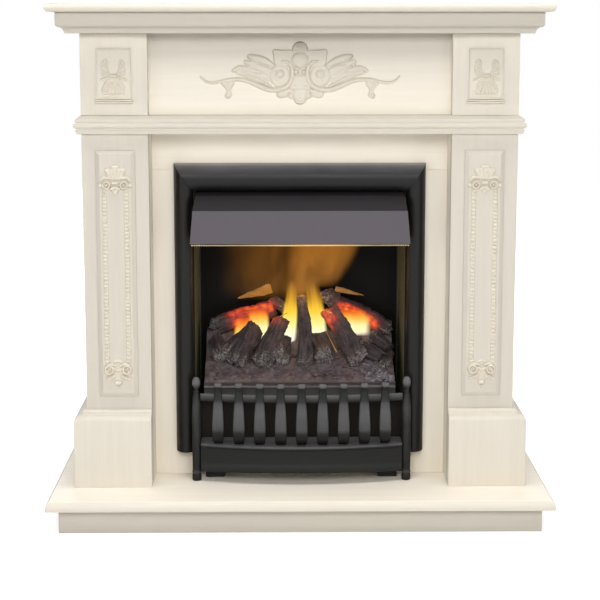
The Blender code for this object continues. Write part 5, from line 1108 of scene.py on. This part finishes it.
def build_bed():
    """The moulded ember surface, on a dark pan with two rolled beads along its front."""
    columns, rows = 210, 104
    verts, ash, heat = [], [], []
    depth = bed_high.y - BED_FRONT
    for j in range(rows + 1):
        for i in range(columns + 1):
            x = -BED_HALF + 2 * BED_HALF * i / columns
            y = BED_FRONT + 0.0012 + (depth - 0.0012) * (j / rows) ** 1.25
            seam, own, small = lumps(x, y)
            edge = min(ramp(y, BED_FRONT, 0.014), ramp(BED_HALF - abs(x), 0, 0.008))
            lump = (0.003 * seam + 0.003 * own + 0.0009 * small) * edge
            z = BED_FLOOR + bed_height(x, y) + lump - 0.0012
            verts.append((x, y, z))
            ash.append(max(0, seam * 0.55 + own * 0.8 + small * 0.35) * (0.35 + 0.65 * edge))
            heat.append(heat_at((x, y, z)) * (1.3 - seam))
    faces = grid_faces(columns, rows)
    wide = columns + 1
    rim = (list(range(wide)) + [j * wide + columns for j in range(1, rows + 1)]
           + [rows * wide + i for i in range(columns - 1, -1, -1)]
           + [j * wide for j in range(rows - 1, 0, -1)])
    base = len(verts)
    for k in rim:
        verts.append((verts[k][0], verts[k][1], BED_FLOOR))
        ash.append(0.1)
        heat.append(0)
    for n in range(len(rim)):
        m = (n + 1) % len(rim)
        faces.append((rim[n], base + n, base + m, rim[m]))
    faces.append(tuple(base + n for n in range(len(rim))))
    shell = Shell()
    shell.add(verts, faces, ash=ash, glow=heat)
    shell.piece("ember_bed_surface", "fuel_bed", "ember", EMBER, ["ember_bed"], 60)
    shell = Shell()
    shell.loft([[(x, BED_FRONT + 0.0006 + back, BED_FLOOR + rise) for back, rise in PAN_OUTLINE]
                for x in np.linspace(-BED_HALF, BED_HALF, 24)])
    shell.piece("ember_pan_front", "fuel_bed", "case_steel", PAN_LOOK, (), 30)


def lump_shape(shell, centre, size, dice, flat=0.75):
    """One broken coal: a faceted ball, cut by random planes and roughened."""
    ball = bmesh.new()
    bmesh.ops.create_icosphere(ball, subdivisions=3, radius=1.0)
    cuts = [(Vector((dice.gauss(0, 1), dice.gauss(0, 1), dice.gauss(0, 1))).normalized(),
             dice.uniform(0.45, 0.85)) for _ in range(9)]
    turn = Matrix.Rotation(dice.uniform(0, 6.28), 3, "Z")
    stretch = Vector((dice.uniform(0.8, 1.35), dice.uniform(0.7, 1.1), flat * dice.uniform(0.8, 1.2)))
    seed = dice.uniform(0, 100)
    verts, ash, heat = [], [], []
    for vert in ball.verts:
        reach = 1
        for normal, offset in cuts:
            along = vert.co.dot(normal)
            if along > 1e-6:
                reach = min(reach, offset / along)
        grit = noise.noise(vert.co * 3.1 + Vector((seed, 0, 0)))
        p = vert.co * reach * (1 + 0.14 * grit)
        p = turn @ Vector((p.x * stretch.x, p.y * stretch.y, p.z * stretch.z)) * size
        p = p + Vector(centre)
        verts.append(tuple(p))
        ash.append(max(0, 0.3 + 1.4 * (reach - 0.72) + 0.9 * grit))
        heat.append(heat_at(p))
    faces = [tuple(v.index for v in face.verts) for face in ball.faces]
    ball.free()
    shell.add(verts, faces, ash=ash, glow=heat)


COALS = 230
ASH_LUMPS = 120


def build_coals():
    """Loose coals between the logs, sunk into the bed, and pale ash lumps at its right."""
    dice = random.Random(41)
    shell = Shell()
    for _ in range(COALS):
        x = dice.uniform(-BED_HALF + 0.012, BED_HALF - 0.012)
        y = dice.uniform(BED_FRONT + 0.02, BED_FRONT + 0.12)
        size = dice.uniform(0.003, 0.0075)
        lump_shape(shell, (x, y, BED_FLOOR + bed_height(x, y) + size * 0.1), size, dice)
    shell.piece("ember_coals", "fuel_bed", "ember", EMBER, (), 28)
    shell = Shell()
    for _ in range(ASH_LUMPS):
        share = dice.random()
        x = 0.122 + 0.064 * share ** 0.6
        y = BED_FRONT + 0.007 + dice.uniform(0, 0.062) * (0.35 + 0.65 * (1 - share))
        size = dice.uniform(0.0022, 0.0062)
        lump_shape(shell, (x, y, BED_FLOOR + bed_height(x, y) + size * 0.25), size, dice, 0.5)
    shell.piece("ash_lumps", "fuel_bed", "ember", ASH, (), 28)


LOG_BEND = 0.07
LOG_ROUGHNESS = 1.25
LOG_SLANT = 0.3


def add_log(shell, start, end, radii, seed, faces):
    """A split log: flat riven faces, long checks and a pale, speckled, broken lower end."""
    start, end = Vector(start), Vector(end)
    length = (end - start).length
    along = (end - start).normalized()
    side = along.cross(Vector((0, 0, 1))).normalized()
    up = side.cross(along)
    dice = random.Random(seed)
    planes = [(2 * math.pi * (k + dice.uniform(-0.3, 0.3)) / faces, dice.uniform(0.78, 1.1))
              for k in range(faces)]
    stations = max(18, int(length / 0.0022))
    shares = [0] * 4 + [i / (stations - 1) for i in range(stations)] + [1] * 4
    shrink = [0.22, 0.5, 0.76, 0.93] + [1] * stations + [0.93, 0.76, 0.5, 0.22]
    rings, ash, seams, heat = [], [], [], []
    for share, scale in zip(shares, shrink):
        outward = 1 if share > 0.5 else -1
        curve = math.sin(share * math.pi) * LOG_BEND * length
        centre = start.lerp(end, share) + up * curve * 0.4 + side * curve * 0.5
        radius = (radii[0] + (radii[1] - radii[0]) * share) * (1 + 0.1 * noise.noise(
            Vector((seed * 1.7, share * length / 0.03, 0))))
        ring = []
        for angle in around(52):
            total = sum(max(0, math.cos(angle - turn - 0.45 * share) / offset) ** 9
                        for turn, offset in planes)
            reach = total ** (-1 / 9)
            c, s = math.cos(angle), math.sin(angle)
            coarse = noise.noise(Vector((c * 1.6 + seed, s * 1.6, share * length / 0.045)))
            check = 1 - min(1, abs(noise.noise(
                Vector((c * 5.2 + seed, s * 5.2, share * length / 0.06)))) * 7)
            block = 1 - min(1, abs(noise.noise(
                Vector((c * 2.6, s * 2.6 + seed, share * length / 0.0125)))) * 5)
            fine = noise.noise(Vector((c * 9 + seed, s * 9, share * length / 0.01)))
            reach *= 1 + LOG_ROUGHNESS * (0.2 * coarse - 0.15 * check - 0.07 * block + 0.06 * fine)
            offset = (side * c + up * s) * reach * radius * scale
            tilt = LOG_SLANT * radius * (c * math.cos(seed) + s * math.sin(seed)) * scale
            step = Vector((0, 0, 0))
            if share in (0, 1):
                jag = 0.2 * noise.noise(Vector((c * 2.4 * scale, s * 2.4 * scale, seed)))
                step = along * (outward * tilt + outward * radius * (0.05 + jag) * (1.05 - scale) * 4)
            ring.append(tuple(centre + offset + step))
            # Paler lower ends: ash, and painted light for lower ends lit under shaded tops.
            ash_and_lit_low_end = max(0, 1 - share * length / 0.032)
            cut = 0.95 if share == 0 and scale < 0.99 else 0
            ash.append(min(1.2, 0.1 + 0.45 * coarse + 0.3 * fine + max(cut, 0.72 * ash_and_lit_low_end)))
            seams.append(1 - max(check, block * 0.6) if scale == 1 else 0.8)
            heat.append(heat_at(centre + offset))
        rings.append(ring)
    shell.loft(rings, ash=ash, along=seams, glow=heat)


LIP = Vector((0, BED_FRONT, BED_FLOOR - 0.0003))


def bed_place(share, behind, rise):
    return LIP + Vector((share * BED_HALF, behind * MM, rise * MM))


LOGS = (  # ends: share of the bed's half width, behind its front, over the ledges; radii in mm
    ("log_back_left", (-0.917, 128, 124), (-0.271, 146, 159), (20, 17.5), 3, 5),
    ("log_back_right", (0.985, 128, 118), (0.35, 146, 166), (17, 20.5), 11, 5),
    ("log_left", (-0.69, 54, 67), (-0.5, 98, 128), (21, 19), 7, 4),
    ("log_middle_left", (-0.43, 54, 64), (-0.205, 100, 144), (17, 14.5), 19, 4),
    ("log_centre", (0.05, 54, 62), (0.021, 102, 194), (17, 9), 5, 5),
    ("log_right", (0.61, 54, 66), (0.31, 102, 163), (19, 16.5), 23, 4))
STICKS = (  # loose stubs and chunks between the logs, drawn the same way
    ("log_stub_far_left", (-0.83, 60, 76), (-0.9, 104, 106), (14.5, 13.5), 31, 5),
    ("log_stub_left_middle", (-0.195, 54, 72), (-0.16, 88, 108), (18, 17), 37, 4),
    ("log_stub_right_middle", (0.262, 54, 76), (0.19, 90, 114), (18, 17), 43, 4),
    ("log_chunk_left_low", (-0.79, 62, 84), (-0.575, 96, 118), (15, 13), 91, 4),
    ("log_stub_behind_left", (-0.15, 138, 160), (-0.3, 146, 178), (12, 11), 73, 5),
    ("log_stub_behind_right", (0.285, 140, 176), (0.44, 146, 186), (14.5, 12), 71, 5),
    ("log_chunk_right_low", (0.665, 84, 94), (0.875, 68, 72), (11, 10), 47, 4),
    ("log_chunk_right_high", (0.78, 108, 111), (0.965, 84, 88), (11, 9), 53, 4),
    ("log_chunk_right_front", (0.89, 44, 58), (0.975, 84, 76), (10, 9.5), 59, 5))
CHIPS = (  # lit splinters: both ends' x, z, then y, the broad end's width, thickness, glow and seed
    ("wood_chip_left", (-0.1272, 0.4065), (-0.0575, 0.4268), 0.118, 0.025, 0.0032, 1, 61),
    ("wood_chip_right", (0.1343, 0.412), (0.076, 0.426), 0.118, 0.0135, 0.003, 0.4, 67),
    ("splinter_right_long", (0.0525, 0.3552), (0.076, 0.3075), 0.044, 0.002, 0.001, 2.6, 79),
    ("splinter_right_short", (0.0425, 0.3971), (0.067, 0.3853), 0.058, 0.0022, 0.001, 4, 83),
    ("splinter_left", (-0.0479, 0.3731), (-0.024, 0.3857), 0.066, 0.002, 0.001, 3, 89))


def build_logs():
    for name, start, end, radii, seed, faces in LOGS + STICKS:
        shell = Shell()
        add_log(shell, bed_place(*start), bed_place(*end), [r * MM for r in radii], seed, faces)
        shell.piece(name + "_split", "fuel_bed", "charred_log", CHAR, [name] if name in NODES else (),
                    38)


def build_chips():
    """Thin wedges and splinters, lit amber, that lean on the logs."""
    for name, tip, end, middle, broad, thick, light, seed in CHIPS:
        tip, run = np.array(tip), np.subtract(end, tip)
        across = np.array((-run[1], run[0])) / np.linalg.norm(run)
        rings, glow = [], []
        for share in np.linspace(0, 1, 20):
            half = broad / 2 * (0.1 + 0.9 * share ** 0.8) * (1 - 0.55 * ramp(share, 0.94, 0.12))
            ring = []
            for angle in around(16):
                grit = noise.noise(Vector((seed, math.sin(angle) * 2, share * 5)))
                x, z = tip + run * share + across * half * math.sin(angle) * (1 + 0.25 * grit)
                back = thick * math.cos(angle) * (1 + 0.3 * grit) - 0.25 * half * math.sin(angle)
                ring.append((x, middle + back, z))
                glow.append(light * (0.8 + 0.5 * grit))
            rings.append(ring)
        shell = Shell()
        shell.loft(rings, glow=glow)
        shell.piece(name, "fuel_bed", "charred_log", CHIP, (), 38)


build_bed()
build_coals()
build_logs()
build_chips()


# Flames and mist


def sheet(shell, row, turn, seed, curl):
    """A curved upright sheet, with how far up and across each point lies."""
    x, y, z, height, width, lean, top, thick, warm = row
    rows, columns = 26, 14
    foot = Vector((x, y, z))
    verts, ups, acrosses = [], [], []
    for j in range(rows + 1):
        up = j / rows
        sway = noise.noise(Vector((seed, up * 1.6, 0))) * width * 0.16 * up
        wide = width * (1 + (top - 1) * up ** 1.4)
        for i in range(columns + 1):
            across = -1 + 2 * i / columns
            offset = Vector((across * wide / 2, (across ** 2 - 0.4) * wide * curl, 0))
            offset.rotate(Matrix.Rotation(turn, 3, "Z"))
            ragged = 0.05 * height * noise.noise(Vector((seed * 2, across * 2.2, turn))) * up
            rise = Vector((lean * up ** 0.7 + sway, 0, height * up + ragged))
            verts.append(tuple(foot + offset + rise))
            ups.append(warm + (1 - warm) * up)
            acrosses.append(across)
    shell.add(verts, grid_faces(columns, rows), up=ups, across=acrosses,
              thick=[thick] * len(verts))


# Foot x, y, z, height, width, lean, the width left at its top, thickness, and how far up its
# colours start
FLAMES = (
    (-0.028, 0.084, 0.32, 0.132, 0.042, 0.0155, 0.42, 1, 0),
    (0.0385, 0.084, 0.322, 0.128, 0.046, -0.009, 0.66, 1, 0))
LOW_FLAMES = (
    (-0.113, 0.09, 0.324, 0.05, 0.05, 0.004, 1, 1, 0.42),
    (-0.083, 0.084, 0.312, 0.08, 0.042, 0, 1.1, 1, -0.22),
    (0.113, 0.086, 0.329, 0.06, 0.078, -0.004, 0.9, 1, -0.1))
MISTS = (
    (-0.004, 0.108, 0.402, 0.15, 0.074, 0.036, 1.8, 1, 0),
    (0.04, 0.11, 0.43, 0.124, 0.078, 0.052, 1.5, 0.8, 0),
    (-0.055, 0.104, 0.405, 0.15, 0.23, -0.006, 1.05, 0.2, 0))


def build_flames():
    """Tongues between the logs, low flames under the back logs, and the mist over them."""
    for name, rows, turns, curl, look in (
            ("flame_tongues", FLAMES, (0, 1.15, -1.15), 0.2, FLAME),
            ("low_flames", LOW_FLAMES, (0, 0.6, -0.6), 0.2, LOW_FLAME),
            ("lit_mist", MISTS, (0, 0.3, -0.3), 0.08, MIST)):
        shell = Shell()
        for n, row in enumerate(rows):
            for turn in turns:
                sheet(shell, row, turn, 3.7 * n + len(rows), curl)
        piece = shell.piece(name, "fuel_bed", "ember", look, (), 180)
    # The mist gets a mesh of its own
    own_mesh(piece)


build_flames()


# Stage, lights and camera


WORLD_LIGHT = 0.06
WHITE = (1.0, 1.0, 1.0)


def build_stage():
    """A floor that glows white for the camera, and less near the suite, where its shadow falls."""
    half = 6.0
    mesh = bpy.data.meshes.new("stage_floor")
    corners = [(-half, -half, 0.0), (half, -half, 0.0), (half, half, 0.0), (-half, half, 0.0)]
    mesh.from_pydata(corners, [], [(0, 1, 2, 3)])
    look = Look("pale_floor", (0.9, 0.9, 0.9), 0.8, Emission_Color=WHITE)
    away = look.out("VectorMath", "Value", {0: look.place}, operation="LENGTH")
    spread = look.reach(away, 0.7, 1.8, 0.55, 1.0)
    look.set(Emission_Strength=look.times(look.seen(), spread))
    mesh.materials.append(look.material)
    add_object("stage_floor", mesh)


def build_world():
    """A dim studio that looks white."""
    world = bpy.data.worlds.new("pale_studio")
    bpy.context.scene.world = world
    world.use_nodes = True
    sky = Nodes(world.node_tree)
    dim = sky.tree.nodes["Background"]
    sky.fill(dim.inputs["Color"], WHITE)
    sky.fill(dim.inputs["Strength"], WORLD_LIGHT)
    white = sky.out("Background", 0, {"Color": WHITE})
    mixed = sky.out("MixShader", 0, {0: sky.seen(), 1: dim.outputs[0], 2: white})
    sky.fill(sky.tree.nodes["World Output"].inputs["Surface"], mixed)


def aimed(name, data, place, forward):
    holder = add_object(name, data)
    holder.location = place
    holder.rotation_euler = forward.to_track_quat("-Z", "Y").to_euler()
    return holder


build_stage()
build_world()
for name, place, target, size, power in (
        ("high", (0.0, -3.4, 1.9), (0.0, 0.0, 0.5), (2.6, 1.0), 62.0),
        ("side", (-2.9, -2.6, 1.0), (0.0, 0.0, 0.5), (1.0, 1.8), 17.0),
        ("side", (2.9, -2.6, 1.0), (0.0, 0.0, 0.5), (1.0, 1.8), 17.0),
        ("back", (0.0, 3.2, 1.3), (0.0, 0.0, 0.5), (2.6, 1.4), 42.0),
        ("upper", (0.0, -2.9, 2.7), (0.0, 0.0, 0.6), (2.6, 1.4), 12.0),
        ("top", (0.0, -0.5, 3.2), (0.0, -0.4, 0.0), (3.0, 1.0), 62.0)):
    lamp = bpy.data.lights.new(name, "AREA")
    lamp.shape = "RECTANGLE"
    lamp.size, lamp.size_y = size
    lamp.energy = power
    aimed(name, lamp, place, Vector(target) - Vector(place))
glow = bpy.data.lights.new("fire_glow", "POINT")
glow.energy = 0.45
glow.color = (1.0, 0.5, 0.16)
glow.shadow_soft_size = 0.03
add_object("fire_glow", glow).location = (0.005, 0.07, 0.44)

camera = bpy.data.cameras.new("camera")
camera.lens = 90.0
camera.sensor_width = 36.0
camera.shift_y = -0.09
pitch, yaw = math.radians(8.4187), math.radians(0.6801)
forward = Vector((math.sin(yaw) * math.cos(pitch), math.cos(yaw) * math.cos(pitch),
                  -math.sin(pitch)))
bpy.context.scene.camera = aimed("camera", camera, (-0.0345, -2.96, 0.9716), forward)
bpy.context.scene.view_settings.view_transform = "Standard"
